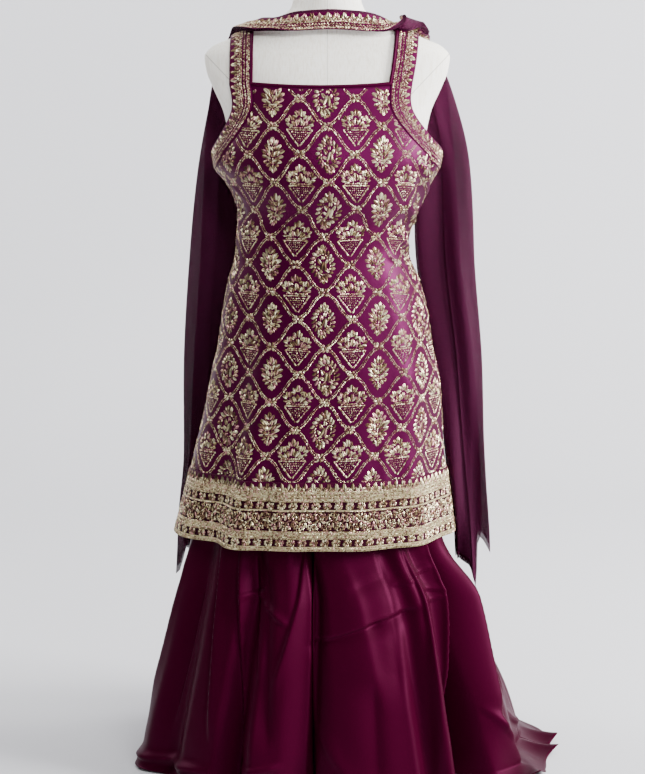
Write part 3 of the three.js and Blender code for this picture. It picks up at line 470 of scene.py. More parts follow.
def leg_panel(side, face, folds):
    """Points of the front (face -1) or back (face 1) panel of a leg, and which cells are cloth. Rows run
    from the waist to the hem, and columns from the side seam to the split and, below the crotch, on
    along the inner leg to the inseam."""
    stops = (WAISTBAND_Z - SEAM_GAP, CROTCH_Z, HEM_TURN_Z, 0)
    runs = [np.linspace(*stops[k : k + 2], rows) for k, rows in enumerate(LEG_ROWS)]
    height = np.concatenate([runs[0], runs[1][1:], runs[2][1:]])
    z = np.maximum(height, HEM_TURN_Z)
    apart = np.where(height > CROTCH_Z, SEAM_GAP / 2, SPLIT_TOP_HALF)
    gap = side * (apart + (SPLIT_HALF - apart) * np.clip((CROTCH_Z - z) / SPLIT_OPENS, 0, 1))
    seam = 90 * side + face * side * 0.06
    end = np.full(len(height), 0.0 if face < 0 else 180.0 * side)
    for _ in range(20):
        p = trouser_surface(end, height, folds)
        away = (split_x(p[:, 1], z) + gap - p[:, 0]) / column(TROUSERS, "half", "z", z)
        end = end - face * np.degrees(away)
    share = np.linspace(0, 1, LEG_COLUMNS)[None, :]
    outer = trouser_surface(seam + (end[:, None] - seam) * share, height[:, None], folds)
    corner = outer[:, -1:]
    t = np.linspace(0, 1, INNER_COLUMNS)[None, 1:]
    y = corner[..., 1] + (face * SEAM_GAP / 2 - corner[..., 1]) * t
    inside = np.clip((z - height) / HEM_TURN_Z, 0, 1)[:, None]
    low = corner[..., 2] + (HEM_Z_INSIDE + (1 - inside) * 6 - corner[..., 2]) * np.clip(3 * t, 0, 1)
    inner_z = np.where(height[:, None] > HEM_TURN_Z, z[:, None] + 0 * t, low)
    points = np.hstack([outer, np.stack([split_x(y, z[:, None]) + gap[:, None], y, inner_z], -1)])
    keep = np.ones((len(height) - 1, points.shape[1] - 1), bool)
    keep[: LEG_ROWS[0] - 1, LEG_COLUMNS - 1 :] = False
    return (points[:, ::-1], keep[:, ::-1]) if face * side > 0 else (points, keep)


satin, tree, shader = material(
    "trouser satin", SATIN_COLOR, 0.46, Specular_IOR_Level=0.13, Specular_Tint=(1.0, 0.04, 0.42, 1)
)
cloth = node(tree, "ShaderNodeTexCoord").outputs["UV"]
yarn = noise(tree, scaled(tree, cloth, (1400, 90, 1)), 1)
rumpled = reckoned(tree, "MULTIPLY_ADD", noise(tree, cloth, 26, 3), 6.0, yarn)
set_bump(tree, shader, rumpled, 0.2, 0.0004)

for leg, side, folds in (("right", -1, RIGHT_LEG_FOLDS), ("left", 1, LEFT_LEG_FOLDS)):
    for part, face in FACES:
        name = f"sharara_{part}_{leg}"
        points, keep = leg_panel(side, face, folds)
        runs = grid_runs(points)
        panel = cloth_piece(
            f"{name}_satin", points, runs, satin, "trouser_satin", [name], CLOTH_WALL, keep=keep
        )

around = np.linspace(0, 360, 360, endpoint=False)[None, :]
band_z = np.linspace(WAISTBAND_Z, WAISTBAND_TOP_Z, 9)[:, None]
gathers = 1.1 * np.sin(np.radians(around) * 66) * (1 + 0.4 * np.sin(np.radians(around) * 7)) + 0 * band_z
points = pushed_out(level_section(TROUSERS, around, band_z), around + 0 * band_z, gathers)
waistband = cloth_piece(
    "sharara_waistband_satin", points, None, satin, "trouser_satin", ["sharara_waistband"], 0.002, ring=True
)


# Tunic
# Front and back body of satin, sewn together at the sides down to the slits. It leans to the viewer's
# left towards the hem and crumples under the wearer's left arm.
GROUND_COLOR, PLUM_TINT = (0.040, 0.0, 0.016), (1.0, 0.08, 0.6, 1)
NECKLINE_Z, UNDERARM_Z, BAND_WIDTH = 1083, 985, 33
WAIST_Z, SLIT_Z, SLIT_HALF, HEM_Z, BORDER_HEIGHT = 840, 600, 5, 371, 106

TUNIC = table(
    "z shift half front back square",
    [
        (1215, 0, 57, 54, 62, 2.0), (1200, 0, 62, 56, 64, 2.0), (1188, 0, 79, 58, 66, 2.0),
        (1176, 0, 106, 60, 69, 2.0), (1164, 0, 137, 63, 73, 2.05), (1154, 0, 161, 65, 77, 2.1),
        (1143, 0, 185, 68, 81, 2.15), (1127, 0, 196, 73, 86, 2.2), (1106, 0, 193, 78, 90, 2.2),
        (1080, 0, 183, 84, 93, 2.2), (1040, 0, 170, 98, 97, 2.2), (1005, 0, 175, 110, 99, 2.15),
        (980, 0, 180, 117, 99, 2.1), (960, 0, 178, 121, 98, 2.05), (933, 2, 162, 122, 95, 2.0),
        (897, 3, 146, 110, 90, 2.0), (865, -4, 138, 98, 88, 2.0), (830, -8, 137, 96, 90, 2.0),
        (775, -5, 153, 101, 102, 2.0), (722, -3, 165, 108, 116, 2.0), (672, -3, 172, 113, 124, 2.05),
        (633, -3, 182, 118, 127, 2.05), (571, -6, 191, 124, 131, 2.0), (507, -12, 201, 132, 136, 2.0),
        (445, -15, 213, 139, 141, 2.0), (371, -20, 228, 147, 146, 2.0),
    ],
)  # fmt: skip
# Soft folds that open from the waist to the hem: place round the body, depth and spread
TUNIC_FOLDS = table(
    "angle out spread",
    [
        (-48, -16, 12), (-32, 18, 9), (-12, 6, 10), (18, 9, 12), (43, 10, 9), (66, -8, 12), (118, -9, 11),
        (142, 9, 10), (165, -7, 9), (190, 8, 10), (216, 6, 9), (243, -9, 11),
    ],
)  # fmt: skip
# Creases where the waist is drawn in and under the arms, with those at the viewer's right deepest
TUNIC_CREASES = table(
    "angle z angle_to z_to depth left right",
    [
        (50, 968, 84, 905, 8, 5, 7), (54, 940, 88, 880, -7, 6, 6), (50, 905, 86, 862, 8, 5, 6),
        (56, 880, 92, 838, -6, 5, 6), (46, 868, 84, 822, 7, 5, 7), (60, 838, 96, 800, -6, 6, 6),
        (44, 826, 78, 786, 4, 6, 8), (62, 985, 70, 940, -5, 6, 6), (-58, 905, -88, 960, 3, 7, 6),
        (-60, 880, -92, 925, -3, 7, 7), (-62, 850, -90, 890, 3, 6, 6), (-20, 930, -6, 880, 2, 10, 9),
        (14, 900, 30, 860, -2, 9, 9), (128, 905, 152, 862, 3, 8, 7), (120, 872, 150, 832, -3, 8, 8),
        (232, 905, 205, 872, 3, 8, 7), (240, 868, 210, 838, -3, 8, 8), (160, 880, 196, 876, 2, 9, 8),
        (-14, 520, -18, 400, 4, 9, 12), (30, 560, 28, 420, 3, 9, 12), (-40, 600, -41, 430, -3, 8, 12),
    ],
)  # fmt: skip


def tunic_surface(degrees, z):
    """Points of the tunic at angles and heights: its level section, with folds that grow from the
    waist down, out * open^1.2 * exp(-(gap / spread)^2), and its creases."""
    degrees, z = np.broadcast_arrays(np.asarray(degrees, float), np.asarray(z, float))
    opening = np.clip((WAIST_Z - z) / (WAIST_Z - HEM_Z), 0, 1) ** 1.2
    out = creases(TUNIC_CREASES, degrees, z, 160)
    for angle, depth, spread in zip(*TUNIC_FOLDS.values()):
        gap = (degrees - angle + 180) % 360 - 180
        out = out + depth * opening * np.exp(-((gap / spread) ** 2))
    return pushed_out(level_section(TUNIC, degrees, z), degrees, out)


def angle_at_x(x, z, face):
    """Angle where the tunic's level section passes x, in front (face -1) or behind (face 1)."""
    share = (x - column(TUNIC, "shift", "z", z)) / column(TUNIC, "half", "z", z)
    s = np.sign(share) * np.minimum(1, np.abs(share)) ** (column(TUNIC, "square", "z", z) / 2)
    degrees = np.degrees(np.arcsin(s))
    return degrees if face < 0 else 180 - degrees


def middle_of(face):
    """Angle of the middle of the front or back."""
    return 90 + 90 * face


def level_runs(z, centre):
    """Angles up to 100 degrees either side of a centre and, for each height, the run along the level
    line from the centre to each of them."""
    degrees = centre + np.linspace(-100, 100, 801)
    points = tunic_surface(degrees[None, :], np.asarray(z, float)[:, None])
    runs = np.linalg.norm(np.diff(points, axis=1, prepend=points[:, :1]), axis=-1).cumsum(1)
    return degrees, runs - runs[:, 400:401]


def angles_at_runs(z, face, runs):
    """Angle for each height and run: the inverse of level_runs, row by row."""
    degrees, known = level_runs(z, middle_of(face))
    return np.stack([np.interp(run, row, degrees) for run, row in zip(runs, known)])


def armhole_edge(t, strap, face, inset):
    """Heights and runs from the centre of a curve parallel to the armhole, a quarter ellipse along
    the cloth from under the arm (t = 0) to the neckline (t = 1)."""
    side, centre = strap["side"], middle_of(face)
    way = -side * face
    degrees, runs = level_runs([NECKLINE_Z], centre)
    corner_x = side * (strap["neckline"] + BAND_WIDTH - inset)
    end = np.interp(angle_at_x(corner_x, NECKLINE_Z, face), degrees, runs[0])
    length = np.interp(centre + 90 * way, degrees, runs[0]) - end
    low = UNDERARM_Z - inset
    z = low + (NECKLINE_Z - low) * (1 - np.cos(t * np.pi / 2))
    degrees, runs = level_runs(z, centre)
    seam = np.stack([np.interp(centre + 90 * way, degrees, row) for row in runs])
    return z, seam - way * SEAM_GAP / 2 - (length - way * SEAM_GAP / 2) * np.sin(t * np.pi / 2)


STRAPS = [{"side": -1, "neckline": 117, "shoulder": 116}, {"side": 1, "neckline": 97, "shoulder": 109}]


def neck_dip(share):
    """How far the front neckline sags at a share (-1 to 1) of its width."""
    return 5 * (1 - share**2)


def tunic_edges(face, inset):
    """Heights from the hem to the neckline and, at each, the runs of the panel's two edges."""
    t = np.linspace(0, 1, 44)
    curves = [armhole_edge(t, strap, face, inset) for strap in (STRAPS if face < 0 else STRAPS[::-1])]
    body_z = np.linspace(HEM_Z, curves[0][0][0], 170)[:-1]
    centre = middle_of(face)
    degrees, runs = level_runs(body_z, centre)
    slit = SEAM_GAP / 2 + SLIT_HALF * np.clip((SLIT_Z - body_z) / (SLIT_Z - HEM_Z), 0, 1)
    left, right = (np.stack([np.interp(centre + turn, degrees, row) for row in runs]) for turn in (-90, 90))
    z = np.append(body_z, curves[0][0])
    return z, np.append(left + slit, curves[0][1]), np.append(right - slit, curves[1][1])


def tunic_panel(face, inset):
    """Points of a panel, and its runs from the centre and heights."""
    z, left, right = tunic_edges(face, inset)
    share = np.linspace(0, 1, 121)[None, :]
    runs = left[:, None] + (right - left)[:, None] * share
    heights = z[:, None] + 0 * share
    degrees = angles_at_runs(z, face, runs)
    if face < 0:
        top = np.clip((heights - 1000) / (NECKLINE_Z - 1000), 0, 1) ** 2
        heights = heights - top * neck_dip(2 * share - 1)
    return tunic_surface(degrees, heights), np.stack([runs, heights], -1) * 0.001


ground, _, _, _ = crinkled(
    "tunic satin", GROUND_COLOR, 0.42, 90, 3, 0.35, 0.0012, Specular_IOR_Level=0.3, Specular_Tint=PLUM_TINT
)
for part, face in FACES:
    points, uv = tunic_panel(face, BAND_WIDTH - 3)
    name = f"kameez_{part}"
    panel = cloth_piece(f"{name}_satin", points, uv, ground, "embroidered_satin", [name], CLOTH_WALL)


# Gold thread
# Metal-wrapped thread laid and couched by hand. Every stitch is a low dome with a pointed outline, a
# few with a rose or a darker cast, as the photograph's threads have.
GOLD_COLOR, PALE_COLOR = (0.31, 0.25, 0.12), (0.60, 0.54, 0.35)
ROSE_COLOR, DARK_COLOR = (0.42, 0.20, 0.20), (0.12, 0.07, 0.04)


def regular_chart(points, first, pitch):
    """A chart: points at even runs across and up a surface, with their normals. first and pitch give
    the run of the first column and row and the step between them."""
    normal = np.cross(np.gradient(points, axis=1), np.gradient(points, axis=0))
    length = np.linalg.norm(normal, axis=-1, keepdims=True)
    return points, normal / np.where(length > 0, length, 1), first, pitch


def on_chart(chart, s, t, out):
    """Points at runs s across and t up the chart, a distance out of it, mixed from the four charted
    points around each place."""
    points, normals, first, pitch = chart
    rows, columns = points.shape[:2]
    i = np.clip((t - first[1]) / pitch[1], 0, rows - 1.001)
    j = np.clip((s - first[0]) / pitch[0], 0, columns - 1.001)
    i0, j0 = i.astype(int), j.astype(int)
    a, b = (i - i0)[..., None], (j - j0)[..., None]

    def mixed(grid):
        low = grid[i0, j0] * (1 - b) + grid[i0, j0 + 1] * b
        high = grid[i0 + 1, j0] * (1 - b) + grid[i0 + 1, j0 + 1] * b
        return low * (1 - a) + high * a

    return mixed(points) + mixed(normals) * out[..., None]


# Outline and top of one stitch, as shares of its length and width and of its height
STITCH = np.array(
    [(-0.5, 0, 0), (-0.24, -0.5, 0), (0.24, -0.5, 0), (0.5, 0, 0), (0.24, 0.5, 0), (-0.24, 0.5, 0), (0, 0, 1)]
)
STITCH_FACES = np.array([(k, (k + 1) % 6, 6) for k in range(6)])
# How far a hand strays in place across and up, length, width, angle and height
HAND = (0.25, 0.25, 0.4, 0.2, 7, 0.1)
STITCH_SINK = 0.15


def stitch_mesh(name, chart, stitches, lift):
    """Finished object of all stitches (columns s, t, length, width, angle, height) laid on a chart,
    their rims a little under the surface that lies a lift out of the chart."""
    hand = np.random.default_rng(len(stitches))
    stitches = stitches + hand.normal(0, 1, stitches.shape) * HAND
    s, t, length, width, angle, height = (stitches[:, k : k + 1] for k in range(6))
    u, v = STITCH[None, :, 0] * length, STITCH[None, :, 1] * width
    cos, sin = np.cos(np.radians(angle)), np.sin(np.radians(angle))
    out = lift - STITCH_SINK + STITCH[None, :, 2] * (height + STITCH_SINK)
    places = on_chart(chart, s + u * cos - v * sin, t + u * sin + v * cos, out)
    count = len(stitches)
    faces = (STITCH_FACES[None] + 7 * np.arange(count)[:, None, None]).reshape(-1, 3)
    mesh = bpy.data.meshes.new(name)
    mesh.from_pydata((places.reshape(-1, 3) * 0.001).tolist(), [], faces.tolist())
    tone = np.random.default_rng(7).random(count)
    uv = np.stack([np.repeat(tone, 18), np.tile(STITCH[STITCH_FACES.ravel(), 2], count)], -1)
    mesh.uv_layers.new(name="thread").data.foreach_set("uv", uv.ravel())
    work = bpy.data.objects.new(name, mesh)
    scene.collection.objects.link(work)
    work.data.materials.append(gold_thread)
    finish_piece(work, "gold_border")
    return work


def stitches_at(s, t, length, width, angle, height):
    """Stitches as rows of their six numbers."""
    return np.stack(np.broadcast_arrays(s, t, length, width, angle, height), -1).astype(float)


def oval(angle, radius_s, radius_t, length, width, at, height, lean):
    """Stitches round an oval at angles, each turned from pointing outwards by a lean."""
    s, t = at[0] + radius_s * np.cos(np.radians(angle)), at[1] + radius_t * np.sin(np.radians(angle))
    return stitches_at(s, t, length, width, angle + lean, height)


def fan(count, start, end, radius, length, width, at=(0, 0), height=0.9):
    """Stitches that point away from a middle, spread evenly over angles from start to end."""
    return oval(np.linspace(start, end, count), radius, radius, length, width, at, height, 0)


def ring(count, radius_s, radius_t, length, width, lean, at=(0, 0), turn=0):
    """Stitches all round an oval, each turned from pointing outwards by a lean."""
    return oval(turn + 360 * np.arange(count) / count, radius_s, radius_t, length, width, at, 0.9, lean)


def flower(petals, size, at):
    """Round flower: its petals as a full fan, and a bead in the middle."""
    petal_ring = fan(petals, 0, 360 * (1 - 1 / petals), size * 0.55, size * 0.8, size * 0.42, at)
    return np.vstack([petal_ring, fan(1, 0, 0, 0, size * 0.4, size * 0.4, at, 1.2)])


def line(start, end, pitch, length, width, lean=0):
    """Stitches in a row from start to end, each turned from the row's way by a lean."""
    way = np.subtract(end, start)
    count = max(2, int(np.hypot(*way) / pitch))
    share = (np.arange(count) + 0.5) / count
    angle = np.degrees(np.arctan2(way[1], way[0])) + lean
    return stitches_at(start[0] + way[0] * share, start[1] + way[1] * share, length, width, angle, 0.7)


def mirrored(stitches):
    """The stitches and their mirror image across x = 0."""
    return np.vstack([stitches, stitches * (-1, 1, 1, 1, -1, 1)])


def copies(stitches, s, t, sway=0.0):
    """The stitches repeated at each of the places (s, t), each copy turned, sized and placed a little
    differently by hand: sway is the usual turn in degrees."""
    hand = np.random.default_rng(len(s) + len(stitches))
    turn, grow, move_s, move_t = hand.normal(0, 1, (4, len(s), 1)) * sway
    cos, sin = np.cos(np.radians(turn)), np.sin(np.radians(turn))
    u, v, length, width, angle, height = (stitches[None, :, k] for k in range(6))
    grow = 1 + 0.012 * grow
    s = s[:, None] + 0.25 * move_s + (u * cos - v * sin) * grow
    t = t[:, None] + 0.25 * move_t + (u * sin + v * cos) * grow
    return stitches_at(s, t, length * grow, width * grow, angle + turn, height).reshape(-1, 6)


def leaves(*rows):
    """Pointed leaves (s, t, angle, length, width), each of two long stitches on either side of a vein."""
    s, t, angle, length, width = np.array(rows, float).T
    side_s, side_t = -np.sin(np.radians(angle)) * width * 0.25, np.cos(np.radians(angle)) * width * 0.25
    return np.vstack(
        [
            stitches_at(s + way * side_s, t + way * side_t, length, width * 0.56, angle - way * 9, 1)
            for way in (-1, 1)
        ]
    )


gold_thread, tree, shader = material("gold thread", GOLD_COLOR, 0.33, Metallic=1.0)
thread = node(tree, "ShaderNodeTexCoord").outputs["UV"]
tone = node(tree, "ShaderNodeSeparateXYZ", {"Vector": thread}).outputs["X"]
THREAD_TONES = [(0.0, DARK_COLOR), (0.24, DARK_COLOR), (0.36, ROSE_COLOR), (0.52, GOLD_COLOR)]
THREAD_TONES += [(1.0, PALE_COLOR)]
tree.links.new(colors_of(tree, tone, THREAD_TONES), shader.inputs["Base Color"])


# Embroidery of the tunic
# Gold thread on both panels: lines of beads cross into diamonds 84 mm high, and each diamond holds a
# flower pot, a roundel with a curled leaf or a bouquet, by its column.
CELL = 42  # half a diamond
CELL_Z = 767.5  # middle of one pot
CHART_PITCH, CHART_HALF = 3.0, 330

basket_rows = ((-9.4, 13.5), (-12.6, 11), (-15.8, 8.5), (-19, 6), (-22.2, 3.5))
basket = [line((-w, at), (w, at), 2.9, 3.0, 1.5, 45 - 90 * (k % 2)) for k, (at, w) in enumerate(basket_rows)]
pot = np.vstack(
    [
        *basket,
        mirrored(line((1.2, -30), (20, -5.5), 2.2, 4.2, 2.4, 10)),
        line((-19, -5.6), (19, -5.6), 2.3, 4.0, 2.1, 0),
        line((-17, -2.6), (17, -2.6), 2.8, 3.4, 2.2, 50),
        leaves((0, 21, 90, 13, 7), (0, 8, 90, 12, 6.5)),
        mirrored(leaves((4.8, 19, 58, 11, 5.6), (7.6, 14, 24, 8, 4.8), (12, 12, 96, 9.5, 5.2))),
        mirrored(leaves((16, 12, 66, 10.5, 5.8), (19.5, 8, 28, 9, 5), (18.5, 2, 6, 7.5, 4.4))),
        mirrored(leaves((5, 5, 66, 11, 5.6), (9.5, 4, 44, 10, 5.2), (13, 0.4, 20, 8, 4.6))),
    ]
)
roundel = np.vstack(
    [
        ring(19, 16.5, 20.5, 9.5, 4.6, 26, (0, -1)),
        ring(19, 12.2, 15.6, 4.6, 2.2, 84, (0, -1), 8),
        leaves((1.5, -4, 82, 17, 9), (-4.5, 4, 118, 10, 5), (7.2, 3.5, 62, 9, 4.4)),
        leaves((-6.5, -5, 150, 8, 4.4), (6.5, -10, -50, 7, 4.2), (-3, -12, 215, 7, 4.2), (1.5, 9, 90, 7, 5)),
        leaves((0, 25, 90, 10, 5.6), (0, -27, 270, 9, 5)),
        mirrored(leaves((4.4, 23, 60, 8, 4.6), (4.2, -25, 300, 8, 4.4))),
    ]
)
bouquet = np.vstack(
    [
        line((0, -17), (0, 13), 3.2, 4.2, 2.4),
        leaves((0, 21, 90, 13, 7), (0, -21, 270, 10, 5.4)),
        mirrored(leaves((5, 18, 62, 11.5, 5.8), (9.4, 12, 44, 11.5, 5.8), (13.4, 5.6, 30, 11.5, 5.6))),
        mirrored(leaves((4, 10, 72, 10, 5), (7.4, 4, 52, 10.5, 5.2), (12.6, -2, 14, 9.5, 5))),
        mirrored(leaves((3.6, 1.4, 74, 9, 4.6), (7, -5, 36, 9.5, 5), (11, -9.6, -8, 8.5, 4.6))),
        mirrored(leaves((3.8, -9, 20, 8, 4.4), (6.6, -14, -36, 8.5, 4.6), (3.6, -19, 300, 8, 4.2))),
    ]
)
# A diamond's edge is two rows of beads with a slight double bend, and a flower covers each crossing
share = np.linspace(0.09, 0.91, 19)
edge = []
for row, size, wide, lean in ((-1.6, 3.9, 1.3, 0), (1.3, 3.4, 2.1, 62)):
    off = (2.2 * np.sin(2 * np.pi * share) + row) * 0.707
    edge.append(stitches_at(CELL * share + off, -CELL + CELL * share - off, size, wide, 45 + lean, 0.7))
corner = (0, -CELL)
crossing = [flower(6, 8, corner), fan(4, 45, 315, 5.6, 3.6, 2.4, corner), fan(2, 0, 180, 7, 3.6, 2.4, corner)]
lattice = np.vstack([mirrored(np.vstack(edge)), *crossing])

tunic_charts = {}
for part, face in FACES:
    chart_z = np.arange(HEM_Z, NECKLINE_Z + 6, CHART_PITCH)
    chart_s = np.arange(-CHART_HALF, CHART_HALF + 1, CHART_PITCH)
    degrees = angles_at_runs(chart_z, face, np.tile(chart_s, (len(chart_z), 1)))
    points = tunic_surface(degrees, chart_z[:, None])
    chart = regular_chart(points, (chart_s[0], chart_z[0]), (CHART_PITCH, CHART_PITCH))
    tunic_charts[part] = chart
    k, n = (g.ravel() for g in np.meshgrid(np.arange(-7, 8), np.arange(-5, 6)))
    s, t = CELL * k, CELL_Z + 2 * CELL * n + CELL * (k % 2 == 0)
    motifs = ((pot, k % 2 == 1, 2.5), (roundel, k % 4 == 0, 3.5), (bouquet, k % 4 == 2, 3.5))
    stitches = [copies(motif, s[where], t[where], sway) for motif, where, sway in motifs]
    stitches = np.vstack([copies(lattice, s, t, 1.0), *stitches])
    z, left, right = tunic_edges(face, BAND_WIDTH)
    at_s, at_z = stitches[:, 0], stitches[:, 1]
    top = NECKLINE_Z - 3 - (5 if face < 0 else 0)
    inside = (at_s > np.interp(at_z, z, left) + 2.5) & (at_s < np.interp(at_z, z, right) - 2.5)
    inside &= (at_z > HEM_Z + BORDER_HEIGHT - 3) & (at_z < top)
    work = stitch_mesh(f"kameez_{part}_embroidery", chart, stitches[inside], 0.5)


# Hem borders
# A band of maroon satin 106 mm deep, almost covered with gold thread, sewn on above the hem: rows of
# bars and roundels, a scroll of flowers between them, lines, and pointed tips along the top.
BORDER_GROUND, WORKED = (0.014, 0.0, 0.004), (0.36, 0.31, 0.17)
BORDER_LIFT, BORDER_REACH = 1.5, 300
BORDER_GLOSS = {"Specular_IOR_Level": 0.15, "Specular_Tint": (1.0, 0.3, 0.5, 1)}
border_ground, tree, shader, cloth = crinkled(
    "border satin", BORDER_GROUND, 0.5, 700, 1, 0.5, 0.0008, **BORDER_GLOSS
)
height_up = node(tree, "ShaderNodeSeparateXYZ", {"Vector": cloth}).outputs["Y"]
share_up = reckoned(tree, "DIVIDE", height_up, BORDER_HEIGHT * 0.001)
# Where the worked and the open stretches of the border start
STRETCHES = [(0, WORKED), (0.066, BORDER_GROUND), (0.17, WORKED), (0.288, BORDER_GROUND), (0.571, WORKED)]
STRETCHES += [(0.599, BORDER_GROUND), (0.712, WORKED), (0.873, GROUND_COLOR)]
tree.links.new(colors_of(tree, share_up, STRETCHES, "CONSTANT"), shader.inputs["Base Color"])


def along_rows(rows, length):
    """Lines of slanted stitches at given heights: (height, pitch, length, width, lean)."""
    return np.vstack([line((-length, t), (length, t), *row) for t, *row in rows])


def repeated(stitches, pitch, length, start=0.0):
    """The stitches repeated along a run from -length to length."""
    s = np.arange(-length + start, length, pitch)
    return copies(stitches, s, 0 * s)


scroll = np.vstack(
    [
        ring(9, 6.2, 6.0, 5.2, 2.6, 72, (0, 38)),
        ring(9, 6.2, 6.0, 5.2, 2.6, -72, (10.5, 53)),
        flower(5, 6.0, (0, 38)),
        flower(5, 6.0, (10.5, 53)),
        leaves((10.5, 40.5, 90, 10, 5), (0, 51.5, 270, 10, 5), (5.4, 46, 40, 8, 4), (-5.2, 45.4, 140, 8, 4)),
        leaves(
            (6.6, 35.4, 330, 6, 3.6), (14.8, 35.8, 215, 6, 3.6),
            (4.2, 56.4, 145, 6, 3.6), (-4, 56.6, 35, 6, 3.6),
        ),
    ]
)  # fmt: skip
MEDAL_MIDDLES = ((0, 12.6), (0, 69.5))
medal = np.vstack(
    [ring(9, 5.0, 4.1, 4.8, 3.6, 20, at) for at in MEDAL_MIDDLES]
    + [flower(5, 5.4, at) for at in MEDAL_MIDDLES]
    + [fan(4, 45, 315, 5.6, 2.6, 1.8, at) for at in MEDAL_MIDDLES]
)
tips = np.vstack(
    [
        leaves((0, 98.5, 90, 13.5, 6.4)),
        mirrored(leaves((3.4, 95, 60, 8.5, 4.2))),
        fan(1, 90, 90, 0, 4, 2.8, (6.2, 94)),
    ]
)
worked_heights = [(1.6, 40), (4.8, -40), (19.4, 40), (22.0, -40), (24.6, 40), (27.2, -40), (29.8, 0)]
worked_heights += [(61.6, 0), (76.6, 40), (79.2, -40), (81.8, 40), (84.4, -40), (87.0, 40)]
worked_heights += [(89.6, -40), (92.0, 0)]
border_pattern = np.vstack(
    [
        along_rows([(height, 2.3, 4.0, 1.8, lean) for height, lean in worked_heights], BORDER_REACH),
        repeated(scroll, 21, BORDER_REACH),
        repeated(medal, 17.5, BORDER_REACH),
        repeated(tips, 12, BORDER_REACH, 4),
    ]
)
border_pattern[:, 1] += HEM_Z
for part, face in FACES:
    z, left, right = tunic_edges(face, BAND_WIDTH)
    z_rows = np.linspace(HEM_Z, HEM_Z + BORDER_HEIGHT, 40)
    left, right = np.interp(z_rows, z, left), np.interp(z_rows, z, right)
    share = np.linspace(0, 1, 161)[None, :]
    runs = left[:, None] * (1 - share) + right[:, None] * share
    heights = z_rows[:, None] + 0 * share
    points = on_chart(tunic_charts[part], runs, heights, np.full(runs.shape, BORDER_LIFT))
    uv = np.stack([runs, heights - HEM_Z], -1) * 0.001
    name = f"hem_border_{part}"
    band = cloth_piece(f"{name}_satin", points, uv, border_ground, "gold_border", [name], CLOTH_WALL)
    s, t = border_pattern[:, 0], border_pattern[:, 1]
    inside = (s > np.interp(t, z_rows, left) + 1.5) & (s < np.interp(t, z_rows, right) - 1.5)
    work = stitch_mesh(f"{name}_embroidery", tunic_charts[part], border_pattern[inside], BORDER_LIFT + 0.5)


# Strap bands
# One long band of maroon satin on each side, 33 mm wide, worked with gold lines along the neck side
# and pointed leaves that reach towards the armhole. It runs up the front armhole, over the shoulder
# and down the back.
BAND_COLOR, BAND_LIFT, BAND_COLUMNS = (0.05, 0.0, 0.02), 0.95, 17


def shoulder_points(x, swing):
    """Points of the tunic's surface at swings about the line through the chest at neckline height: 0
    is the front, 90 the top of the shoulder and 180 the back. The reach is halved in on from both
    sides until it meets the section: |x / half|^square + |y / depth|^square = 1."""
    x, swing = np.broadcast_arrays(np.asarray(x, float), np.radians(np.asarray(swing, float)))
    near, far = np.zeros(x.shape), np.full(x.shape, 200.0)
    for _ in range(30):
        reach = (near + far) / 2
        y, z = -reach * np.cos(swing), NECKLINE_Z + reach * np.sin(swing)
        depth = np.where(y < 0, column(TUNIC, "front", "z", z), column(TUNIC, "back", "z", z))
        square = column(TUNIC, "square", "z", z)
        within = (np.abs(x) / column(TUNIC, "half", "z", z)) ** square + (np.abs(y) / depth) ** square < 1
        within &= z <= TUNIC["z"][0]
        near, far = np.where(within, reach, near), np.where(within, far, reach)
    return np.stack([x, -near * np.cos(swing), NECKLINE_Z + near * np.sin(swing)], -1)


def over_shoulder(strap, inset):
    """Points over the shoulder, an inset out from the strap's inner edge."""
    swing = np.linspace(0, 180, 80)[1:-1, None]
    inner = strap["neckline"] + (strap["shoulder"] - strap["neckline"]) * np.sin(np.radians(swing))
    return shoulder_points(strap["side"] * (inner + inset), swing)


def even_rows(points, pitch):
    """Rows of a grid moved along it to an even pitch, measured along its middle column."""
    middle = points[:, points.shape[1] // 2]
    run = np.linalg.norm(np.diff(middle, axis=0, prepend=middle[:1]), axis=-1).cumsum()
    wanted = np.linspace(0, run[-1], int(run[-1] / pitch) + 1)
    i = np.clip(np.searchsorted(run, wanted) - 1, 0, len(run) - 2)
    t = ((wanted - run[i]) / (run[i + 1] - run[i]))[:, None, None]
    return points[i] * (1 - t) + points[i + 1] * t, wanted[1]


def band_pattern(width, length):
    """Gold lines, a row of chevrons and pointed leaves for a band from its lined edge (0) across."""
    tip = np.vstack(
        [
            leaves((0, width * 0.80, 90, 11.5, 5.6)),
            mirrored(leaves((3.3, width * 0.69, 62, 7.5, 3.8))),
            mirrored(fan(1, 20, 20, 0, 4.6, 2.6, (4.4, width * 0.60))),
            fan(1, 90, 90, 0, 3.6, 3.6, (0, width * 0.60)),
        ]
    )
    chevron = mirrored(fan(1, 50, 50, 0, 4.0, 1.7, (1.4, width * 0.31)))
    lines = (0.10, 40), (0.175, -40), (0.45, 40), (0.52, -40)
    rows = [(width * at, 2.4, 3.8, 1.8, lean) for at, lean in lines]
    return np.vstack([along_rows(rows, length), repeated(tip, 12, length), repeated(chevron, 4.6, length)])


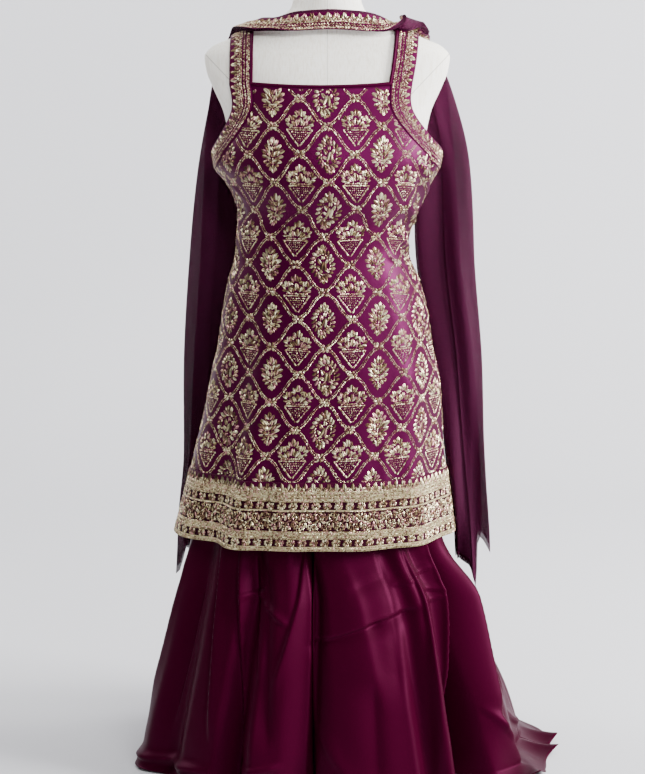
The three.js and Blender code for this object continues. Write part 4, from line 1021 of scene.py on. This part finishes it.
band_ground, _, _, _ = crinkled(
    "band satin", BAND_COLOR, 0.5, 90, 2, 0.3, 0.0008, Specular_IOR_Level=0.2, Specular_Tint=PLUM_TINT
)
for strap, name in zip(STRAPS, ("strap_band_right", "strap_band_left")):
    side = strap["side"]
    insets = np.linspace(0, BAND_WIDTH, BAND_COLUMNS)
    edges = {-1: [], 1: []}
    for face, into in edges.items():
        for inset in insets:
            z, runs = armhole_edge(np.linspace(0, 1, 60), strap, face, inset)
            into.append(tunic_surface(angles_at_runs(z, face, runs[:, None])[:, 0], z))
    over = over_shoulder(strap, BAND_WIDTH - insets[None, :])
    points = np.vstack([np.stack(edges[-1], 1), over, np.stack(edges[1], 1)[::-1]])
    points, pitch = even_rows(points[:, ::-1] if side > 0 else points, CHART_PITCH)
    length = pitch * (len(points) - 1)
    chart = regular_chart(points, (0, -length / 2), (BAND_WIDTH / (BAND_COLUMNS - 1), pitch))
    s, t = np.meshgrid(insets, np.linspace(-length / 2, length / 2, len(points)))
    raised = on_chart(chart, s, t, np.full(s.shape, BAND_LIFT))
    across = s / BAND_WIDTH if side > 0 else 1 - s / BAND_WIDTH
    uv = np.stack([across, t * 0.001], -1)
    band = cloth_piece(f"{name}_satin", raised, uv, band_ground, "gold_border", [name], CLOTH_WALL)
    pattern = band_pattern(BAND_WIDTH, length / 2 - 2)
    a, b, angle = pattern[:, 0].copy(), pattern[:, 1].copy(), pattern[:, 4]
    pattern[:, 0], pattern[:, 1] = (b, -a) if side > 0 else (BAND_WIDTH - b, a)
    pattern[:, 4] = angle - 90 * side
    work = stitch_mesh(f"{name}_embroidery", chart, pattern, BAND_LIFT + 0.45)


# Neck binding
# A narrow plain satin edging, rolled over the edge all round the neck opening and stitched down.
BINDING_COLOR, BINDING_ROLL, BINDING_UNDER, BINDING_ARCH = (0.035, 0.0, 0.012), 4.2, 1.0, 1.4


def binding_grid():
    """Rows round the neck opening, columns from just under the cloth's edge inwards, arched out."""
    share = np.linspace(0, 1, 9)[None, :]
    inset = BINDING_ROLL * share - BINDING_UNDER
    right, left = STRAPS
    t = np.linspace(0, 1, 60)[:, None]

    def neckline(face):
        x = (inset - right["neckline"]) * (1 - t) + (left["neckline"] - inset) * t
        z = NECKLINE_Z + inset - (neck_dip(2 * t - 1) if face < 0 else 0 * t)
        return tunic_surface(angle_at_x(x, z, face), z)

    sides = over_shoulder(left, -inset), over_shoulder(right, -inset)
    points = np.vstack([neckline(-1), sides[0], neckline(1)[::-1], sides[1][::-1]])
    normal = np.cross(np.gradient(points, axis=0), np.gradient(points, axis=1))
    normal /= np.linalg.norm(normal, axis=-1, keepdims=True)
    return points + normal * (BINDING_ARCH * np.sin(np.pi * share) + 0.6)[..., None]


binding_satin, _, _ = material(
    "binding satin", BINDING_COLOR, 0.5, Specular_IOR_Level=0.15, Specular_Tint=(1.0, 0.08, 0.5, 1)
)
points = binding_grid().transpose(1, 0, 2)
binding = cloth_piece(
    "neck_binding_satin", points, None, binding_satin, "binding_satin", ["neck_binding"], 0.0007, ring=True
)


# Scarf
# One long chiffon cloth, folded to nine layers across the neck and left to fall in narrow pleats
# behind each shoulder. Its plain edge is rolled, and at the viewer's right shoulder it twists over.
CHIFFON_COLOR = (0.055, 0.0, 0.024)
SCARF = table(
    "x y z across_x across_z half step fall",
    [
        (-229, 134, 266, 1, 0, 29, 4.8, 1), (-221, 128, 372, 1, 0, 32, 5.2, 1),
        (-205, 121, 480, 1, 0, 35, 5.6, 1), (-198, 116, 640, 1, 0, 36, 5.8, 1),
        (-185, 111, 820, 1, 0, 37, 5.8, 1), (-176, 106, 960, 1, 0, 35, 5.2, 1),
        (-167, 97, 1050, 1, 0.05, 31, 4.0, 0.9), (-156, 84, 1118, 1, 0.18, 25, 2.6, 0.6),
        (-141, 56, 1160, 0.96, 0.3, 19, 1.7, 0.2), (-131, 12, 1178, 0.92, 0.3, 16, 1.5, 0),
        (-117, -37, 1176, 0.88, 0.6, 15, 1.5, 0), (-84, -60, 1175, 0.3, 1.2, 15, 1.5, 0),
        (-38, -71, 1178, 0, 1, 15, 1.5, 0), (4, -74, 1180, 0, 1, 15, 1.5, 0),
        (46, -71, 1178, 0, 1, 15, 1.5, 0), (85, -60, 1175, -0.3, 1.2, 15, 1.5, 0),
        (117, -37, 1176, -0.88, 0.6, 15, 1.5, 0), (132, 12, 1178, -0.92, 0.3, 17, 1.5, 0),
        (147, 52, 1158, -0.96, 0.3, 21, 1.7, 0.2), (164, 84, 1116, -1, 0.18, 27, 2.6, 0.6),
        (178, 97, 1050, -1, 0.05, 33, 4.0, 0.9), (190, 104, 960, -1, 0, 38, 5.2, 1),
        (196, 102, 820, -1, 0, 42, 5.8, 1), (216, 86, 640, -1, 0, 40, 5.6, 1),
        (227, 68, 500, -1, 0, 34, 5.0, 1), (238, 46, 372, -1, 0, 28, 4.4, 1),
        (244, 36, 266, -1, 0, 26, 4.2, 1),
    ],
)  # fmt: skip
SCARF["k"] = np.arange(len(SCARF["x"]), dtype=float)
# Where the cloth turns back on itself, as shares of half the bundle's width
SCARF_TURNS = table(
    "neck fall",
    [
        (-1, -0.35), (1, 0.95), (-0.9, -0.5), (0.92, 0.8), (-0.85, -0.7), (0.88, 0.9), (-0.85, -0.4),
        (0.84, 1), (-0.8, -1), (0.84, 0.05),
    ],
)  # fmt: skip
# How far the bundle is rolled about its own path where it twists over the shoulder
SCARF_TWIST = table(
    "k roll lift",
    [
        (0, 0, 0), (9, 0, 0), (10, -12, 0), (11, -46, 0), (12, -6, 0), (13, 0, 0), (14, -4, 0),
        (15, -34, 0), (15.5, -62, 0), (16.3, -168, 2), (17.6, -190, 3), (18.5, -270, 7), (19.4, -360, 0),
        (26, -360, 0),
    ],
)  # fmt: skip
SCARF_BORDER_WIDTH, LAST_ROW = 26, 26
# How far each end is drawn up at a share of half the bundle's width, which leaves two pointed tails
SCARF_ENDS = table(
    "q right left",
    [
        (-1.1, 0, 62), (-0.75, 12, 82), (-0.4, 66, 92), (-0.25, 40, 40), (-0.08, 8, 6), (0.15, 30, 40),
        (0.5, 64, 46), (0.8, 30, 52), (1.1, 44, 44),
    ],
)  # fmt: skip


def bundle_frames(k):
    """Middle, way along, way across and way out of the folded bundle at rows k of its table, with its
    half width, step between layers and share of the fall's turns."""
    at = lambda name, k=k: column(SCARF, name, "k", k)
    middle = np.stack([at("x"), at("y"), at("z")], -1)
    before, after = np.maximum(k - 0.01, 0), np.minimum(k + 0.01, LAST_ROW)
    along = np.stack([at(name, after) - at(name, before) for name in "xyz"], -1)
    along /= np.linalg.norm(along, axis=-1, keepdims=True)
    across = np.stack([at("across_x"), 0 * k, at("across_z")], -1)
    across -= along * (across * along).sum(-1, keepdims=True)
    across /= np.linalg.norm(across, axis=-1, keepdims=True)
    out = np.cross(along, across)
    roll = np.radians(column(SCARF_TWIST, "roll", "k", k))[:, None]
    middle = middle + out * column(SCARF_TWIST, "lift", "k", k)[:, None]
    across, out = across * np.cos(roll) + out * np.sin(roll), out * np.cos(roll) - across * np.sin(roll)
    thin = 0.55 + 0.45 * at("fall")
    middle = middle - out * (4.0 * at("step") * (1 - thin))[:, None]
    gathered = 1 - 0.5 * np.sin(roll[:, 0]) ** 2 * np.clip((k - 15) / 0.6, 0, 1)
    return (middle, along, across, out), at("half") * gathered, at("step") * thin, at("fall")[:, None]


def end_rise(q, layer, k):
    """How far along its path the cloth is drawn back from its ends, fading over two and a half rows."""
    rise = lambda end: np.interp(q, SCARF_ENDS["q"], SCARF_ENDS[end]) + 7 * np.sin(2.1 * layer)
    first, last = np.clip(1 - k / 2.5, 0, 1) ** 1.5, np.clip(1 - (LAST_ROW - k) / 2.5, 0, 1) ** 1.5
    return first * rise("right") - last * rise("left")


def on_bundle(k, layer, sideways, outwards):
    """Points of a layer at distances sideways and outwards from the bundle's middle. Where it falls,
    soft waves run across it that drift and fade as they fall: a wave every 47 mm, and half as strong
    ones every 82 and 26 mm."""
    (middle, along, across, out), half, step, fall = bundle_frames(k)
    k = k[:, None]
    strong = 0.65 + 0.35 * np.sin(0.8 * k + 1.0)
    wave = 3.4 * strong * np.sin(sideways / 7.5 + 0.9 * k + 0.8 * np.sin(0.7 * k))
    wave += 2.2 * np.sin(sideways / 13 - 1.7 * k) + 1.3 * np.sin(sideways / 4.1 + 2.3 * np.sin(0.9 * k))
    steps = sideways, outwards + wave * fall, end_rise(sideways / half[:, None], layer, k)
    ways = across, out, along
    return middle[:, None] + sum(way[:, None] * step[..., None] for way, step in zip(ways, steps))


# The share of a layer that a turn takes up, and how far the cloth slows in it
TURN_SHARE, TURN_SLOWS = 0.14, 0.85


def scarf_section(k, layer, share):
    """Points of the scarf at rows k, on a layer (0 is outermost) at a share of the way from its first
    turn to its second. The layers lie a step apart, and near a turn the cloth leaves its layer along
    a parabola and slows, which makes a round fold. All layers wave alike, so none meets another."""
    _, half, step, fall = bundle_frames(k)
    turns = SCARF_TURNS["neck"] + (SCARF_TURNS["fall"] - SCARF_TURNS["neck"]) * fall
    number = np.arange(10)
    drift = 0.09 * np.sin(0.55 * k[:, None] + 2.1 * number) + 0.12 * np.sin(1.1 * k[:, None] + 4.0 * number)
    turns = (turns + np.where((number > 0) & (number < 9), drift * fall, 0)) * half[:, None]
    eased = share - np.sin(2 * np.pi * share) / (2 * np.pi) * TURN_SLOWS
    sideways = turns[:, layer] + (turns[:, layer + 1] - turns[:, layer]) * eased
    first = np.where(layer > 0, np.clip(1 - share / TURN_SHARE, 0, 1) ** 2, 0)
    last = np.where(layer < 8, np.clip((share - (1 - TURN_SHARE)) / TURN_SHARE, 0, 1) ** 2, 0)
    return on_bundle(k, layer, sideways, (4 - layer + first / 2 - last / 2) * step[:, None])


layer, share = np.repeat(np.arange(9), 12), np.tile(np.linspace(0, 1, 13)[:-1], 9)
layer, share = np.append(layer, 8), np.append(share, 1.0)
points = scarf_section(np.linspace(0, LAST_ROW, 341), layer, share)
chiffon, _, _, _ = crinkled(
    "chiffon", CHIFFON_COLOR, 0.7, 120, 2, 0.3, 0.001, Specular_IOR_Level=0.15, Alpha=0.68
)
stretches = ["dupatta_neck", "dupatta_fall_right", "dupatta_fall_left"]
runs = grid_runs(points)
scarf = cloth_piece("dupatta_chiffon", points[:, ::-1], runs[:, ::-1], chiffon, "chiffon", stretches, 0.0004)

# Its gold border lies on the first layer, from the bordered edge
widths = np.linspace(0, SCARF_BORDER_WIDTH, 14)
k = np.linspace(0.02, LAST_ROW - 0.02, 1200)[::-1]
_, half, step, fall = bundle_frames(k)
edge = (SCARF_TURNS["neck"][0] + (SCARF_TURNS["fall"][0] - SCARF_TURNS["neck"][0]) * fall) * half[:, None]
points, pitch = even_rows(on_bundle(k, 0, edge + widths[None, :], 4 * step[:, None] + 0.8), CHART_PITCH)
length = pitch * (len(points) - 1)
chart = regular_chart(points, (0, -length / 2), (2.0, pitch))
s, t = np.meshgrid(widths, np.linspace(-length / 2, length / 2, len(points)))
uv = np.stack([s / SCARF_BORDER_WIDTH, t * 0.001], -1)
stretches = ["dupatta_border_neck", "dupatta_border_fall_right", "dupatta_border_fall_left"]
scarf_border = cloth_piece("dupatta_border_satin", points, uv, band_ground, "gold_border", stretches, 0.0005)
pattern = band_pattern(SCARF_BORDER_WIDTH, length / 2 - 2)
pattern[:, 0], pattern[:, 1], pattern[:, 4] = pattern[:, 1].copy(), -pattern[:, 0], pattern[:, 4] - 90
scarf_work = stitch_mesh("dupatta_border_embroidery", chart, pattern, 0.3)
